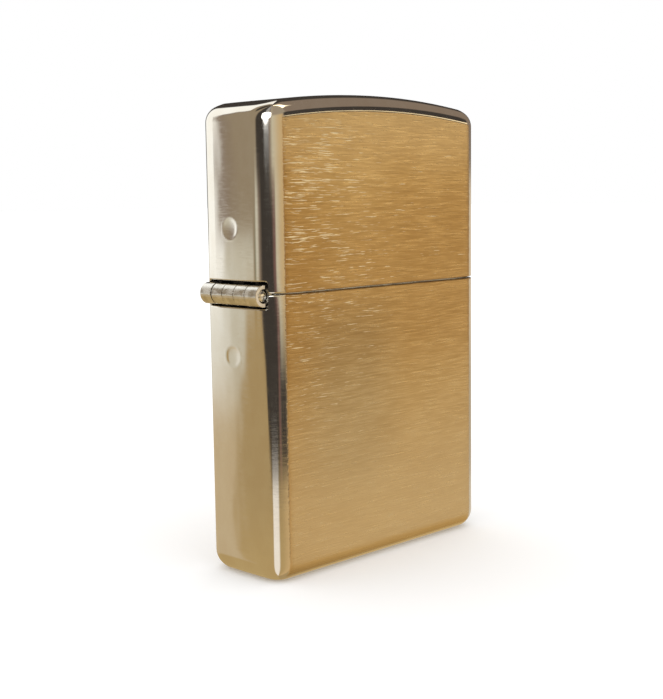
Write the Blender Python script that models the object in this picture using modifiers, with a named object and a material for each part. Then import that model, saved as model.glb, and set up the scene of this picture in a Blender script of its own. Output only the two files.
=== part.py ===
"""A flip-top petrol pocket lighter: outer case, hinged lid and the lift-out insert with its works.

Metres, +Z up. The lighter stands on its base at z = 0. X runs across its width, with the hinge on the -X
side, and Y runs through its thickness, with the front at -Y. The origin is the middle of the base of the
bounding box. Shapes are drawn in the case's own frame, whose x = 0 is the middle of the case, and the
empties carry them across to the origin and onto their joints' axes.
"""

from math import acos, cos, degrees, pi, radians, sin, sqrt, tau

import bmesh
import bpy
from mathutils import Matrix, Vector

MM = 0.001
FIT = 0.05 * MM  # between pieces that touch or run on each other

# Outer case
CASE_WIDTH = 38.1 * MM
CASE_DEPTH = 12.7 * MM
CASE_HEIGHT = 57.15 * MM
CASE_WALL = 0.65 * MM
CASE_CORNER = 3.0 * MM
BASE_ROUND = 2.4 * MM
TOP_ROUND = 2.0 * MM
DOME_RISE = 1.45 * MM
SEAM_Z = 34.1 * MM
SEAM_GAP = 0.2 * MM
RECESS_DEPTH = 0.35 * MM
RECESS_MARGIN = 0.75 * MM
RECESS_SLOPE = 0.4 * MM

# Hinge
BARREL_RADIUS = 1.27 * MM
LEAF_SHEET = 0.45 * MM
AXIS_INSET = 0.2 * MM
AXIS_DROP = 0.2 * MM
KNUCKLES = 5
KNUCKLE_GAP = 0.1 * MM
BARREL_LENGTH = 9.8 * MM
NOTCH_WIDTH = 10.3 * MM
NOTCH_ABOVE = 1.6 * MM
NOTCH_BELOW = 1.5 * MM
LEAF_WIDTH = 6.9 * MM
LEAF_HEIGHT = 11.0 * MM
PLATE_START = 1.45 * MM
PIN_PROUD = 0.1 * MM  # beyond each end of the barrel
PIN_BEVEL = 0.15 * MM

# Insert
INSERT_LEFT = -17.35 * MM
INSERT_RIGHT = 18.15 * MM
INSERT_DEPTH = 10.9 * MM
INSERT_CORNER = 2.3 * MM
INSERT_SHEET = 0.4 * MM
INSERT_BASE = 1.75 * MM
INSERT_TOP = 35.2 * MM
INSERT_ROUND = 0.9 * MM

# Chimney, the folded windscreen whose two sides run on as ears for the wheel and the cam
CHIMNEY_RIGHT = 13.3 * MM
CHIMNEY_LEFT = -3.0 * MM
CHIMNEY_TOP = 51.2 * MM
CHIMNEY_DEPTH = 9.7 * MM
CHIMNEY_SHEET = 0.45 * MM
CHIMNEY_CORNER = 1.9 * MM
EAR_DEPTH = 7.2 * MM
EAR_LEFT = -14.7 * MM
STEP_START = -3.6 * MM
STEP_END = -1.3 * MM
SHOULDER_LOW = 1.7 * MM  # above the wheel's axis, where the ear's edge starts to rise to the windscreen
SHOULDER_HIGH = 2.3 * MM
SCREEN_CORNER = 1.0 * MM
HOLE_RADIUS = 1.15 * MM
HOLE_ROWS = 3
HOLE_PITCH_X = 4.3 * MM
HOLE_PITCH_Z = 3.9 * MM
HOLES_CENTRE_X = 5.4 * MM
HOLES_CENTRE_Z = 44.6 * MM

# Striker wheel
WHEEL_X = -6.4 * MM
WHEEL_Z = 44.8 * MM
WHEEL_RADIUS = 3.75 * MM
WHEEL_WIDTH = 5.4 * MM
WHEEL_TEETH = 30
TOOTH_DEPTH = 0.32 * MM
WHEEL_RIVET_RADIUS = 0.75 * MM
WHEEL_RIVET_HEAD = 1.4 * MM
WHEEL_EAR_RADIUS = 2.6 * MM

# Cam, which holds the lid shut or open, and its leaf spring
CAM_X = -12.4 * MM
CAM_Z = 39.0 * MM
CAM_HUB = 1.65 * MM
CAM_FLAT = 1.75 * MM
CAM_CROWN = 1.82 * MM
CAM_HEEL = 1.1 * MM
CAM_REACH = 6.15 * MM
CAM_NOSE = 0.5 * MM
CAM_WIDTH = 4.2 * MM
CAM_RISE = 38  # degrees that the lever points above level when the lid is shut
CAM_SWING = 66  # degrees that it turns as the lid opens
CAM_RIVET_RADIUS = 0.6 * MM
CAM_RIVET_HEAD = 1.15 * MM
CAM_EAR_RADIUS = 2.3 * MM
RIVET_HEAD_HEIGHT = 0.42 * MM
RIVET_HEAD_RIM = 0.12 * MM
RIVET_HEAD_FALL = 0.1 * MM  # from the middle of a head to where its dome bends
SPRING_STRIP = 0.32 * MM
SPRING_STRIP_WIDTH = 3.8 * MM
SPRING_FOOT_RIGHT = -8.45 * MM
SPRING_FOOT_LEFT = -10.5 * MM
SPRING_BEND = 0.35 * MM  # run of the strip's bend up out of its foot
SPRING_BEND_RISE = 0.25 * MM
SPRING_NECK = -11.1 * MM
SPRING_NECK_DROP = 0.15 * MM
SPRING_BLADE_START = -11.5 * MM
SPRING_BLADE_REACH = 1.05 * MM  # level past the cam's pivot, before the free end bends down
SPRING_TIP = -14.4 * MM
SPRING_TIP_DROP = 0.6 * MM
SPRING_RIVET_X = -9.45 * MM
SPRING_RIVET_RADIUS = 0.45 * MM
SPRING_RIVET_HEAD = 0.85 * MM
SPRING_RIVET_HEIGHTS = (0.35 * MM, 0.28 * MM, 0.08 * MM)  # of its head, from the middle to the rim
SPRING_RIVET_TAIL = 0.3 * MM

# Flint train, inside a tube below the wheel
TUBE_OUTER = 1.75 * MM
TUBE_BORE = 1.35 * MM
TUBE_BOTTOM = 2.95 * MM
TUBE_TOP = 39.6 * MM
FLINT_RADIUS = 1.25 * MM
FLINT_LENGTH = 5.0 * MM
FLINT_BEVEL = 0.2 * MM
FOLLOWER_HEAD = 2.4 * MM
FOLLOWER_BEVEL = 0.25 * MM
FOLLOWER_STEM = 2.0 * MM
STEM_RADIUS = 0.55 * MM
COIL_RADIUS = 0.95 * MM
COIL_WIRE = 0.2 * MM
COIL_TURNS = 16
SCREW_HEAD_RADIUS = 2.1 * MM
SCREW_HEAD = 1.0 * MM
SCREW_SHANK = 4.2 * MM
SCREW_STEM = 1.2 * MM
SCREW_BEVEL = 0.2 * MM
SCREW_SLOT = 0.55 * MM
SCREW_SLOT_DEPTH = 0.45 * MM

# Wick and packing
WICK_X = 4.6 * MM
WICK_RADIUS = 1.45 * MM
WICK_TOP = 43.4 * MM
WICK_BOTTOM = 5.6 * MM
WICK_SWAY = 1.6 * MM
WICK_WAVES = 1.5
BALLS = 5
PACKING_TOP = 34.2 * MM
PACKING_BOTTOM = 4.6 * MM
PACKING_MARGIN = 0.3 * MM
BALL_CORNER = 1.8 * MM
BALL_ROUND = 1.2 * MM
FELT_BOTTOM = 2.65 * MM
FELT_TOP = 4.3 * MM

# Worked out from the above
AXIS_X = -CASE_WIDTH / 2 + AXIS_INSET
AXIS_Z = SEAM_Z - AXIS_DROP
HINGE_PROUD = BARREL_RADIUS - AXIS_INSET
CASE_X = HINGE_PROUD / 2
BARREL_BORE = BARREL_RADIUS - LEAF_SHEET
PIN_RADIUS = BARREL_BORE - FIT
PLATE_OUT = -CASE_WIDTH / 2 + CASE_WALL + FIT
INSERT_X = (INSERT_LEFT + INSERT_RIGHT) / 2
INSERT_WIDTH = INSERT_RIGHT - INSERT_LEFT
FLINT_TOP = WHEEL_Z - WHEEL_RADIUS - FIT
FLINT_BOTTOM = FLINT_TOP - FLINT_LENGTH
FOLLOWER_TOP = FLINT_BOTTOM - FIT
SCREW_HEAD_TOP = TUBE_BOTTOM - FIT
SCREW_TOP = SCREW_HEAD_TOP + SCREW_SHANK
COIL_BOTTOM = SCREW_TOP + COIL_WIRE + FIT
COIL_TOP = FOLLOWER_TOP - FOLLOWER_HEAD - COIL_WIRE - FIT

STEPS = 24  # round a whole turn
CORNER_STEPS = 6  # round a quarter turn of a case corner
DOME_STEPS = 12

TURN_TO_Y = Matrix.Rotation(pi / 2, 4, "X")  # a drawing's x, y become the lighter's x, z


def start():
    for obj in list(bpy.data.objects):
        bpy.data.objects.remove(obj, do_unlink=True)
    found = {}
    for name in ("lighter", "cutters"):
        found[name] = bpy.data.collections.new(name)
        bpy.context.scene.collection.children.link(found[name])
    return found["lighter"], found["cutters"]


PARTS, CUTTERS = start()


def look(name, colour, roughness, metallic=1.0):
    made = bpy.data.materials.new(name)
    made.use_nodes = True
    shader = made.node_tree.nodes["Principled BSDF"]
    shader.inputs["Base Color"].default_value = (*colour, 1)
    shader.inputs["Roughness"].default_value = roughness
    shader.inputs["Metallic"].default_value = metallic
    return made


BRASS = look("brushed_brass", (0.52, 0.36, 0.17), 0.32)
NICKEL = look("nickel_plate", (0.68, 0.65, 0.58), 0.16)
STEEL = look("steel", (0.58, 0.58, 0.56), 0.25)
DARK_STEEL = look("hardened_steel", (0.26, 0.26, 0.27), 0.42)
SPRING_STEEL = look("spring_steel", (0.5, 0.5, 0.5), 0.22)
RAW_BRASS = look("turned_brass", (0.62, 0.45, 0.19), 0.28)
FLINT_GREY = look("flint", (0.2, 0.19, 0.18), 0.6)
COTTON = look("cotton_wick", (0.82, 0.77, 0.66), 0.9, 0.0)
RAYON = look("rayon", (0.88, 0.87, 0.83), 0.95, 0.0)
FELT = look("felt", (0.62, 0.6, 0.55), 0.95, 0.0)


def empty(name, at, parent=None):
    made = bpy.data.objects.new(name, None)
    made.location = Vector(at) - (parent["at"] if parent else Vector())
    made.empty_display_size = 5 * MM
    PARTS.objects.link(made)
    if parent:
        made.parent = parent["empty"]
    return {"empty": made, "at": Vector(at)}


ORIGIN = empty("lighter_origin", (0, 0, 0))
ORIGIN["empty"].location = (CASE_X, 0, 0)
CASE_BODY = ORIGIN
LID_BODY = empty("lid_axis", (AXIS_X, 0, AXIS_Z), ORIGIN)
INSERT_BODY = empty("insert_slide", (INSERT_X, 0, INSERT_BASE), ORIGIN)
WHEEL_BODY = empty("wheel_axis", (WHEEL_X, 0, WHEEL_Z), INSERT_BODY)
CAM_BODY = empty("cam_axis", (CAM_X, 0, CAM_Z), INSERT_BODY)
FLINT_BODY = empty("flint_slide", (WHEEL_X, 0, FLINT_BOTTOM), INSERT_BODY)


def place(obj, body, at=(0, 0, 0), turn=None):
    """Parents an object to a body's empty, with its own origin at a point of the case's frame."""
    obj.parent = body["empty"]
    obj.matrix_basis = Matrix.Translation(Vector(at) - body["at"]) @ (turn or Matrix())
    return obj


def add(name, mesh, material, body, at=(0, 0, 0), turn=None):
    obj = bpy.data.objects.new(name, mesh)
    mesh.materials.append(material)
    PARTS.objects.link(obj)
    return place(obj, body, at, turn)


def mesh_from(bm, name):
    bmesh.ops.recalc_face_normals(bm, faces=bm.faces)
    mesh = bpy.data.meshes.new(name)
    bm.to_mesh(mesh)
    bm.free()
    return mesh


def smooth(obj, degrees=35):
    obj.data.shade_smooth()
    obj.data.set_sharp_from_angle(angle=radians(degrees))
    return obj


def cut(obj, cutter_mesh, body, operation="DIFFERENCE"):
    """Takes a mesh drawn in the case's frame away from an object, or keeps only what they share."""
    cutter = bpy.data.objects.new(obj.name + "_cutter", cutter_mesh)
    CUTTERS.objects.link(cutter)
    place(cutter, body)
    cutter.hide_render = True
    cutter.display_type = "WIRE"
    modifier = obj.modifiers.new("cut", "BOOLEAN")
    modifier.operation = operation
    modifier.object = cutter
    return obj


def boxes(*corners):
    """One mesh of separate boxes, each given by its lowest and highest corner."""
    bm = bmesh.new()
    for low, high in corners:
        low, high = Vector(low), Vector(high)
        size = Matrix.Diagonal((*(high - low), 1))
        bmesh.ops.create_cube(bm, size=1, matrix=Matrix.Translation((low + high) / 2) @ size)
    return mesh_from(bm, "boxes")


def add_rod(bm, radius, start_at, end_at, steps=STEPS):
    """A plain cylinder between two points of the case's frame."""
    start_at, end_at = Vector(start_at), Vector(end_at)
    way = end_at - start_at
    turn = way.to_track_quat("Z", "Y").to_matrix().to_4x4()
    bmesh.ops.create_cone(
        bm,
        cap_ends=True,
        segments=steps,
        radius1=radius,
        radius2=radius,
        depth=way.length,
        matrix=Matrix.Translation((start_at + end_at) / 2) @ turn,
    )


def rods(*specs):
    bm = bmesh.new()
    for spec in specs:
        add_rod(bm, *spec)
    return mesh_from(bm, "rods")


def arc(centre, radius, from_deg, to_deg, steps):
    turn = [radians(from_deg + (to_deg - from_deg) * i / steps) for i in range(steps + 1)]
    return [(centre[0] + radius * cos(a), centre[1] + radius * sin(a)) for a in turn]


def circle(centre, radius, steps=STEPS):
    return arc(centre, radius, 0, 360, steps)[:-1]


def outline_mesh(name, outlines, thickness):
    """A flat plate: the first outline is its edge and any others are holes, as a filled 2D curve."""
    curve = bpy.data.curves.new(name, "CURVE")
    curve.dimensions = "2D"
    curve.fill_mode = "BOTH"
    curve.extrude = thickness / 2
    for outline in outlines:
        spline = curve.splines.new("POLY")
        spline.points.add(len(outline) - 1)
        for point, (x, y) in zip(spline.points, outline):
            point.co = (x, y, 0, 1)
        spline.use_cyclic_u = True
    obj = bpy.data.objects.new(name, curve)
    PARTS.objects.link(obj)
    graph = bpy.context.evaluated_depsgraph_get()
    mesh = bpy.data.meshes.new_from_object(obj.evaluated_get(graph))
    bpy.data.objects.remove(obj)
    bm = bmesh.new()
    bm.from_mesh(mesh)
    bmesh.ops.remove_doubles(bm, verts=bm.verts, dist=MM * 1e-4)
    return mesh_from(bm, name)


def turned(name, profile, material, body, at, along_y=False):
    """A turned piece: (radius, height) points, top to bottom down the outer side."""
    bm = bmesh.new()
    points = [bm.verts.new((r, 0, z)) for r, z in profile]
    for a, b in zip(points, points[1:]):
        bm.edges.new((a, b))
    if profile[0][0] > 0:
        bm.edges.new((points[-1], points[0]))
    mesh = bpy.data.meshes.new(name)
    bm.to_mesh(mesh)
    bm.free()
    obj = add(name, mesh, material, body, at, TURN_TO_Y if along_y else None)
    screw = obj.modifiers.new("turn", "SCREW")
    screw.steps = screw.render_steps = STEPS
    screw.use_merge_vertices = True
    screw.merge_threshold = MM * 1e-3
    screw.use_smooth_shade = True
    return obj


# ---------------------------------------------------------------- shells


def half_ring(half_x, half_y, corner, splits):
    """Front half of a rounded rectangle, left to right. Its mirror image in Y is the back half."""
    left = arc((-half_x + corner, -half_y + corner), corner, 180, 270, CORNER_STEPS)
    span = half_x - corner
    middle = [(-span + 2 * span * i / splits, -half_y) for i in range(1, splits)]
    return left + middle + [(-x, y) for x, y in reversed(left)]


def ring_loft(rings):
    """An open cup: (front half-ring, height function) pairs from the rim on, each joined to the next."""
    bm = bmesh.new()
    loops = []
    for half, height in rings:
        front = [bm.verts.new((x, y, height(x))) for x, y in half]
        back = [bm.verts.new((x, -y, height(x))) for x, y in reversed(half)]
        loops.append(front + back)
    for low, high in zip(loops, loops[1:]):
        count = len(low)
        for i in range(count):
            j = (i + 1) % count
            bm.faces.new((low[i], low[j], high[j], high[i]))
    last = loops[-1]
    for i in range(len(last) // 2 - 1):
        j = len(last) - 1 - i
        bm.faces.new((last[i], last[i + 1], last[j - 1], last[j]))
    return bm


def rounded_end(half_x, half_y, corner, radius, splits, level, up, steps=5):
    """Rings round the edge between the walls and a closed end, up or down, whose height is level(x)."""
    rings = []
    for i in range(steps + 1):
        turn = pi / 2 * i / steps
        inset = radius * (1 - cos(turn))
        rise = radius * (1 - sin(turn))
        half = half_ring(half_x - inset, half_y - inset, corner - inset, splits)
        rings.append((half, lambda x, rise=rise: level(x) - up * rise))
    return rings


def dome(x):
    """Height of the lid's arched top above its height at the case's ends."""
    arch = (CASE_WIDTH**2 / 4 + DOME_RISE**2) / (2 * DOME_RISE)
    return sqrt(arch**2 - x**2) - arch


def shell(name, bm, wall, material, body):
    obj = add(name, mesh_from(bm, name), material, body)
    solid = obj.modifiers.new("wall", "SOLIDIFY")
    solid.thickness = wall
    solid.offset = -1
    solid.use_even_offset = True
    smooth(obj)
    return obj


def hinge_notch():
    """The slot in both shells that the barrel lies in."""
    reach = CASE_CORNER + MM
    low = (-CASE_WIDTH / 2 - MM, -NOTCH_WIDTH / 2, AXIS_Z - NOTCH_BELOW)
    high = (-CASE_WIDTH / 2 + reach, NOTCH_WIDTH / 2, AXIS_Z + NOTCH_ABOVE)
    return boxes((low, high))


def make_bottom_case():
    half_x, half_y = CASE_WIDTH / 2, CASE_DEPTH / 2
    rim = SEAM_Z - SEAM_GAP / 2
    rings = [(half_ring(half_x, half_y, CASE_CORNER, 2), lambda x: rim)]
    rings += rounded_end(half_x, half_y, CASE_CORNER, BASE_ROUND, 2, lambda x: 0.0, -1)
    flat_x, flat_y, flat_corner = half_x - BASE_ROUND, half_y - BASE_ROUND, CASE_CORNER - BASE_ROUND
    for inset, height in ((RECESS_MARGIN, 0.0), (RECESS_MARGIN + RECESS_SLOPE, RECESS_DEPTH)):
        half = half_ring(flat_x - inset, flat_y - inset, flat_corner, 2)
        rings.append((half, lambda x, height=height: height))
    obj = shell("bottom_case", ring_loft(rings), CASE_WALL, BRASS, CASE_BODY)
    return cut(obj, hinge_notch(), CASE_BODY)


def make_lid_case():
    half_x, half_y = CASE_WIDTH / 2, CASE_DEPTH / 2
    rim = SEAM_Z + SEAM_GAP / 2
    rings = [(half_ring(half_x, half_y, CASE_CORNER, DOME_STEPS), lambda x: rim)]
    level = lambda x: CASE_HEIGHT + dome(x)
    rings += rounded_end(half_x, half_y, CASE_CORNER, TOP_ROUND, DOME_STEPS, level, 1)
    obj = shell("lid_case", ring_loft(rings), CASE_WALL, BRASS, LID_BODY)
    return cut(obj, hinge_notch(), LID_BODY)


def make_insert_case():
    """The fuel chamber: a drawn steel sleeve, open below, pierced above for the works."""
    half_x, half_y = INSERT_WIDTH / 2, INSERT_DEPTH / 2
    rings = [(half_ring(half_x, half_y, INSERT_CORNER, 2), lambda x: INSERT_BASE)]
    level = lambda x: INSERT_TOP
    rings += rounded_end(half_x, half_y, INSERT_CORNER, INSERT_ROUND, 2, level, 1, steps=3)
    bm = ring_loft(rings)
    bmesh.ops.translate(bm, verts=bm.verts, vec=(INSERT_X, 0, 0))
    obj = shell("insert_case", bm, INSERT_SHEET, STEEL, INSERT_BODY)
    below, above = INSERT_TOP - 2 * MM, INSERT_TOP + MM
    holes = rods(
        (TUBE_OUTER + FIT, (WHEEL_X, 0, below), (WHEEL_X, 0, above)),
        (WICK_RADIUS + 2 * FIT, (WICK_X, 0, below), (WICK_X, 0, above)),
        (SPRING_RIVET_RADIUS + FIT, (SPRING_RIVET_X, 0, below), (SPRING_RIVET_X, 0, above)),
    )
    return cut(obj, holes, INSERT_BODY)


# ---------------------------------------------------------------- hinge


def knuckle_slots(ours):
    """Boxes where the other leaf's knuckles go."""
    pitch = BARREL_LENGTH / KNUCKLES
    reach = BARREL_RADIUS + MM
    slots = []
    for i in range(KNUCKLES):
        if i in ours:
            continue
        front = -BARREL_LENGTH / 2 + i * pitch - KNUCKLE_GAP / 2
        back = front + pitch + KNUCKLE_GAP
        front = front - MM if i == 0 else front
        back = back + MM if i == KNUCKLES - 1 else back
        low = (AXIS_X - reach, front, AXIS_Z - PLATE_START)
        slots.append((low, (AXIS_X + reach, back, AXIS_Z + PLATE_START)))
    return boxes(*slots)


def plate_sides(side):
    """Boxes that narrow a leaf's plate from the barrel's length to its own width."""
    reach = BARREL_RADIUS + MM
    ends = [AXIS_Z + side * (BARREL_RADIUS + FIT), AXIS_Z + side * (LEAF_HEIGHT + MM)]
    slots = []
    for front, back in ((-BARREL_LENGTH, -LEAF_WIDTH / 2), (LEAF_WIDTH / 2, BARREL_LENGTH)):
        slots.append(((AXIS_X - reach, front, min(ends)), (AXIS_X + reach, back, max(ends))))
    return boxes(*slots)


def make_leaf(name, side, ours, body):
    """A hinge leaf: sheet rolled into knuckles round the pin, and a plate that lies inside the wall."""
    plate_in = PLATE_OUT + LEAF_SHEET
    out, inner = PLATE_OUT - AXIS_X, plate_in - AXIS_X
    start_deg = degrees(acos(inner / BARREL_RADIUS))
    end_deg = degrees(acos(out / BARREL_RADIUS))
    edge = [(inner, LEAF_HEIGHT), (out, LEAF_HEIGHT)]
    edge += arc((0, 0), BARREL_RADIUS, end_deg, 360 + start_deg, STEPS)
    section = [edge, circle((0, 0), BARREL_BORE)]
    section = [[(AXIS_X + x, AXIS_Z + side * z) for x, z in loop] for loop in section]
    mesh = outline_mesh(name, section, BARREL_LENGTH)
    mesh.transform(TURN_TO_Y)
    obj = add(name, mesh, NICKEL, body)
    cut(obj, knuckle_slots(ours), body)
    return smooth(cut(obj, plate_sides(side), body))


def make_hinge():
    make_leaf("hinge_leaf_upper", 1, (0, 2, 4), LID_BODY)
    make_leaf("hinge_leaf_lower", -1, (1, 3), CASE_BODY)
    half = BARREL_LENGTH / 2 + PIN_PROUD
    end = [(0, half), (PIN_RADIUS - PIN_BEVEL, half), (PIN_RADIUS, half - PIN_BEVEL)]
    profile = end + [(r, -z) for r, z in reversed(end)]
    turned("hinge_pin", profile, NICKEL, CASE_BODY, (AXIS_X, 0, AXIS_Z), along_y=True)


# ---------------------------------------------------------------- chimney


def chimney_walls():
    """The folded sheet seen from above, front side left to right and back again, drawn up and thickened."""
    ear, wall = EAR_DEPTH / 2 - CHIMNEY_SHEET / 2, CHIMNEY_DEPTH / 2 - CHIMNEY_SHEET / 2
    right = CHIMNEY_RIGHT - CHIMNEY_SHEET / 2
    step = [
        (STEP_START + (STEP_END - STEP_START) * t, -(ear + (wall - ear) * (1 - cos(pi * t)) / 2))
        for t in (0.0, 0.25, 0.5, 0.75, 1.0)
    ]
    corner = arc((right - CHIMNEY_CORNER, -wall + CHIMNEY_CORNER), CHIMNEY_CORNER, 270, 360, 5)
    front = [(EAR_LEFT - MM, -ear)] + step + corner
    plan = front + [(x, -y) for x, y in reversed(front)]
    bm = bmesh.new()
    low = [bm.verts.new((x, y, INSERT_TOP + FIT)) for x, y in plan]
    edges = [bm.edges.new(pair) for pair in zip(low, low[1:])]
    raised = bmesh.ops.extrude_edge_only(bm, edges=edges)
    top = [v for v in raised["geom"] if isinstance(v, bmesh.types.BMVert)]
    bmesh.ops.translate(bm, verts=top, vec=(0, 0, CHIMNEY_TOP + MM - INSERT_TOP))
    return mesh_from(bm, "chimney")


def chimney_side():
    """The folded sheet's outline from the front: cam ear, wheel ear, then the windscreen."""
    base = INSERT_TOP - MM
    right = CHIMNEY_RIGHT + MM
    points = [(EAR_LEFT, base)]
    points += arc((CAM_X, CAM_Z), CAM_EAR_RADIUS, 180, 65, 7)
    points += arc((WHEEL_X, WHEEL_Z), WHEEL_EAR_RADIUS, 190, 65, 8)
    points += [(STEP_START, WHEEL_Z + SHOULDER_LOW), (CHIMNEY_LEFT, WHEEL_Z + SHOULDER_HIGH)]
    points += arc((CHIMNEY_LEFT + SCREEN_CORNER, CHIMNEY_TOP - SCREEN_CORNER), SCREEN_CORNER, 180, 90, 4)
    points += [(right, CHIMNEY_TOP), (right, base)]
    mesh = outline_mesh("side", [list(reversed(points))], CASE_DEPTH)
    mesh.transform(TURN_TO_Y)
    return mesh


def hole_centres():
    """Three rows of three, two and three holes."""
    found = []
    for row in range(HOLE_ROWS):
        count = 2 if row == 1 else 3
        for i in range(count):
            x = HOLES_CENTRE_X + HOLE_PITCH_X * (i - (count - 1) / 2)
            found.append((x, HOLES_CENTRE_Z + HOLE_PITCH_Z * (row - 1)))
    return found


def make_chimney():
    obj = add("chimney", chimney_walls(), STEEL, INSERT_BODY)
    sheet = obj.modifiers.new("sheet", "SOLIDIFY")
    sheet.thickness = CHIMNEY_SHEET
    sheet.offset = 0
    cut(obj, chimney_side(), INSERT_BODY, "INTERSECT")
    half = CASE_DEPTH / 2
    drills = [(HOLE_RADIUS, (x, -half, z), (x, half, z), 16) for x, z in hole_centres()]
    drills.append((WHEEL_RIVET_RADIUS + FIT, (WHEEL_X, -half, WHEEL_Z), (WHEEL_X, half, WHEEL_Z)))
    drills.append((CAM_RIVET_RADIUS + FIT, (CAM_X, -half, CAM_Z), (CAM_X, half, CAM_Z)))
    cut(obj, rods(*drills), INSERT_BODY)
    return smooth(obj)


# ---------------------------------------------------------------- wheel, cam and springs


def rivet(name, radius, head, at):
    """A rivet across the ears, with a domed head against each."""
    top = EAR_DEPTH / 2 + FIT
    crown = top + RIVET_HEAD_HEIGHT
    half = [
        (0, crown),
        (head * 0.6, crown - RIVET_HEAD_FALL),
        (head, top + RIVET_HEAD_RIM),
        (head, top),
        (radius, top),
    ]
    profile = half + [(r, -z) for r, z in reversed(half)]
    return turned(name, profile, STEEL, INSERT_BODY, at, along_y=True)


def make_wheel():
    tips = []
    for i in range(WHEEL_TEETH):
        turn = tau * i / WHEEL_TEETH
        for share, depth in ((0.0, 0.0), (0.12, 0.0), (0.55, TOOTH_DEPTH)):
            angle = turn + tau / WHEEL_TEETH * share
            radius = WHEEL_RADIUS - depth
            tips.append((radius * cos(angle), radius * sin(angle)))
    bore = WHEEL_RIVET_RADIUS + FIT
    mesh = outline_mesh("striker_wheel", [tips, circle((0, 0), bore)], WHEEL_WIDTH)
    smooth(add("striker_wheel", mesh, DARK_STEEL, WHEEL_BODY, (WHEEL_X, 0, WHEEL_Z), TURN_TO_Y), 25)
    rivet("wheel_rivet", WHEEL_RIVET_RADIUS, WHEEL_RIVET_HEAD, (WHEEL_X, 0, WHEEL_Z))


def polar(reach, degrees_round):
    return (reach * cos(radians(degrees_round)), reach * sin(radians(degrees_round)))


def cam_outline():
    """Seen from the front, about the pivot: a hub, a lever towards the hinge, and two flats for the spring.

    One flat lies on the spring when the lid is shut, and the other when it is open.
    """
    lever = 180 - CAM_RISE
    shut, opened = 270, 270 - CAM_SWING
    spread = degrees(acos(CAM_FLAT / CAM_CROWN))
    points = arc((0, 0), CAM_CROWN, opened + spread, shut - spread, 4)
    points.append((CAM_HEEL, -CAM_FLAT))
    points += arc((0, 0), CAM_HUB, -10, 60, 5)
    points += arc(polar(CAM_REACH, lever), CAM_NOSE, lever - 90, lever + 90, 8)
    flat, end = polar(CAM_FLAT, opened), polar(CAM_HEEL, opened - 90)
    points.append((flat[0] + end[0], flat[1] + end[1]))
    return points


def make_cam():
    bore = circle((0, 0), CAM_RIVET_RADIUS + FIT)
    mesh = outline_mesh("cam", [cam_outline(), bore], CAM_WIDTH)
    smooth(add("cam", mesh, STEEL, CAM_BODY, (CAM_X, 0, CAM_Z), TURN_TO_Y))
    rivet("cam_rivet", CAM_RIVET_RADIUS, CAM_RIVET_HEAD, (CAM_X, 0, CAM_Z))


def make_cam_spring():
    """A steel strip: a foot riveted to the insert, a rise, and a blade under the cam's flats."""
    foot = INSERT_TOP + FIT + SPRING_STRIP / 2
    blade = CAM_Z - CAM_FLAT - 2 * FIT - SPRING_STRIP / 2
    line = [
        (SPRING_FOOT_RIGHT, foot),
        (SPRING_FOOT_LEFT, foot),
        (SPRING_FOOT_LEFT - SPRING_BEND, foot + SPRING_BEND_RISE),
        (SPRING_NECK, blade - SPRING_NECK_DROP),
        (SPRING_BLADE_START, blade),
        (CAM_X - SPRING_BLADE_REACH, blade),
        (SPRING_TIP, blade - SPRING_TIP_DROP),
    ]
    bm = bmesh.new()
    half = SPRING_STRIP_WIDTH / 2
    front = [bm.verts.new((x, -half, z)) for x, z in line]
    edges = [bm.edges.new(pair) for pair in zip(front, front[1:])]
    swept = bmesh.ops.extrude_edge_only(bm, edges=edges)
    moved = [v for v in swept["geom"] if isinstance(v, bmesh.types.BMVert)]
    bmesh.ops.translate(bm, verts=moved, vec=(0, SPRING_STRIP_WIDTH, 0))
    obj = add("cam_spring", mesh_from(bm, "cam_spring"), SPRING_STEEL, INSERT_BODY)
    strip = obj.modifiers.new("strip", "SOLIDIFY")
    strip.thickness = SPRING_STRIP
    strip.offset = 0
    strip.use_even_offset = True
    ends = [(SPRING_RIVET_X, 0, z) for z in (INSERT_TOP - MM, INSERT_TOP + 2 * MM)]
    cut(obj, rods((SPRING_RIVET_RADIUS + FIT, *ends)), INSERT_BODY)
    top = foot + SPRING_STRIP / 2 + FIT
    under = INSERT_TOP - INSERT_SHEET - FIT
    middle, bend, rim = SPRING_RIVET_HEIGHTS
    profile = [
        (0, top + middle),
        (SPRING_RIVET_HEAD * 0.7, top + bend),
        (SPRING_RIVET_HEAD, top + rim),
        (SPRING_RIVET_HEAD, top),
        (SPRING_RIVET_RADIUS, top),
        (SPRING_RIVET_RADIUS, under),
        (SPRING_RIVET_HEAD, under),
        (SPRING_RIVET_HEAD, under - SPRING_RIVET_TAIL),
        (0, under - SPRING_RIVET_TAIL),
    ]
    turned("cam_spring_rivet", profile, STEEL, INSERT_BODY, (SPRING_RIVET_X, 0, 0))


# ---------------------------------------------------------------- flint train


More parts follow.
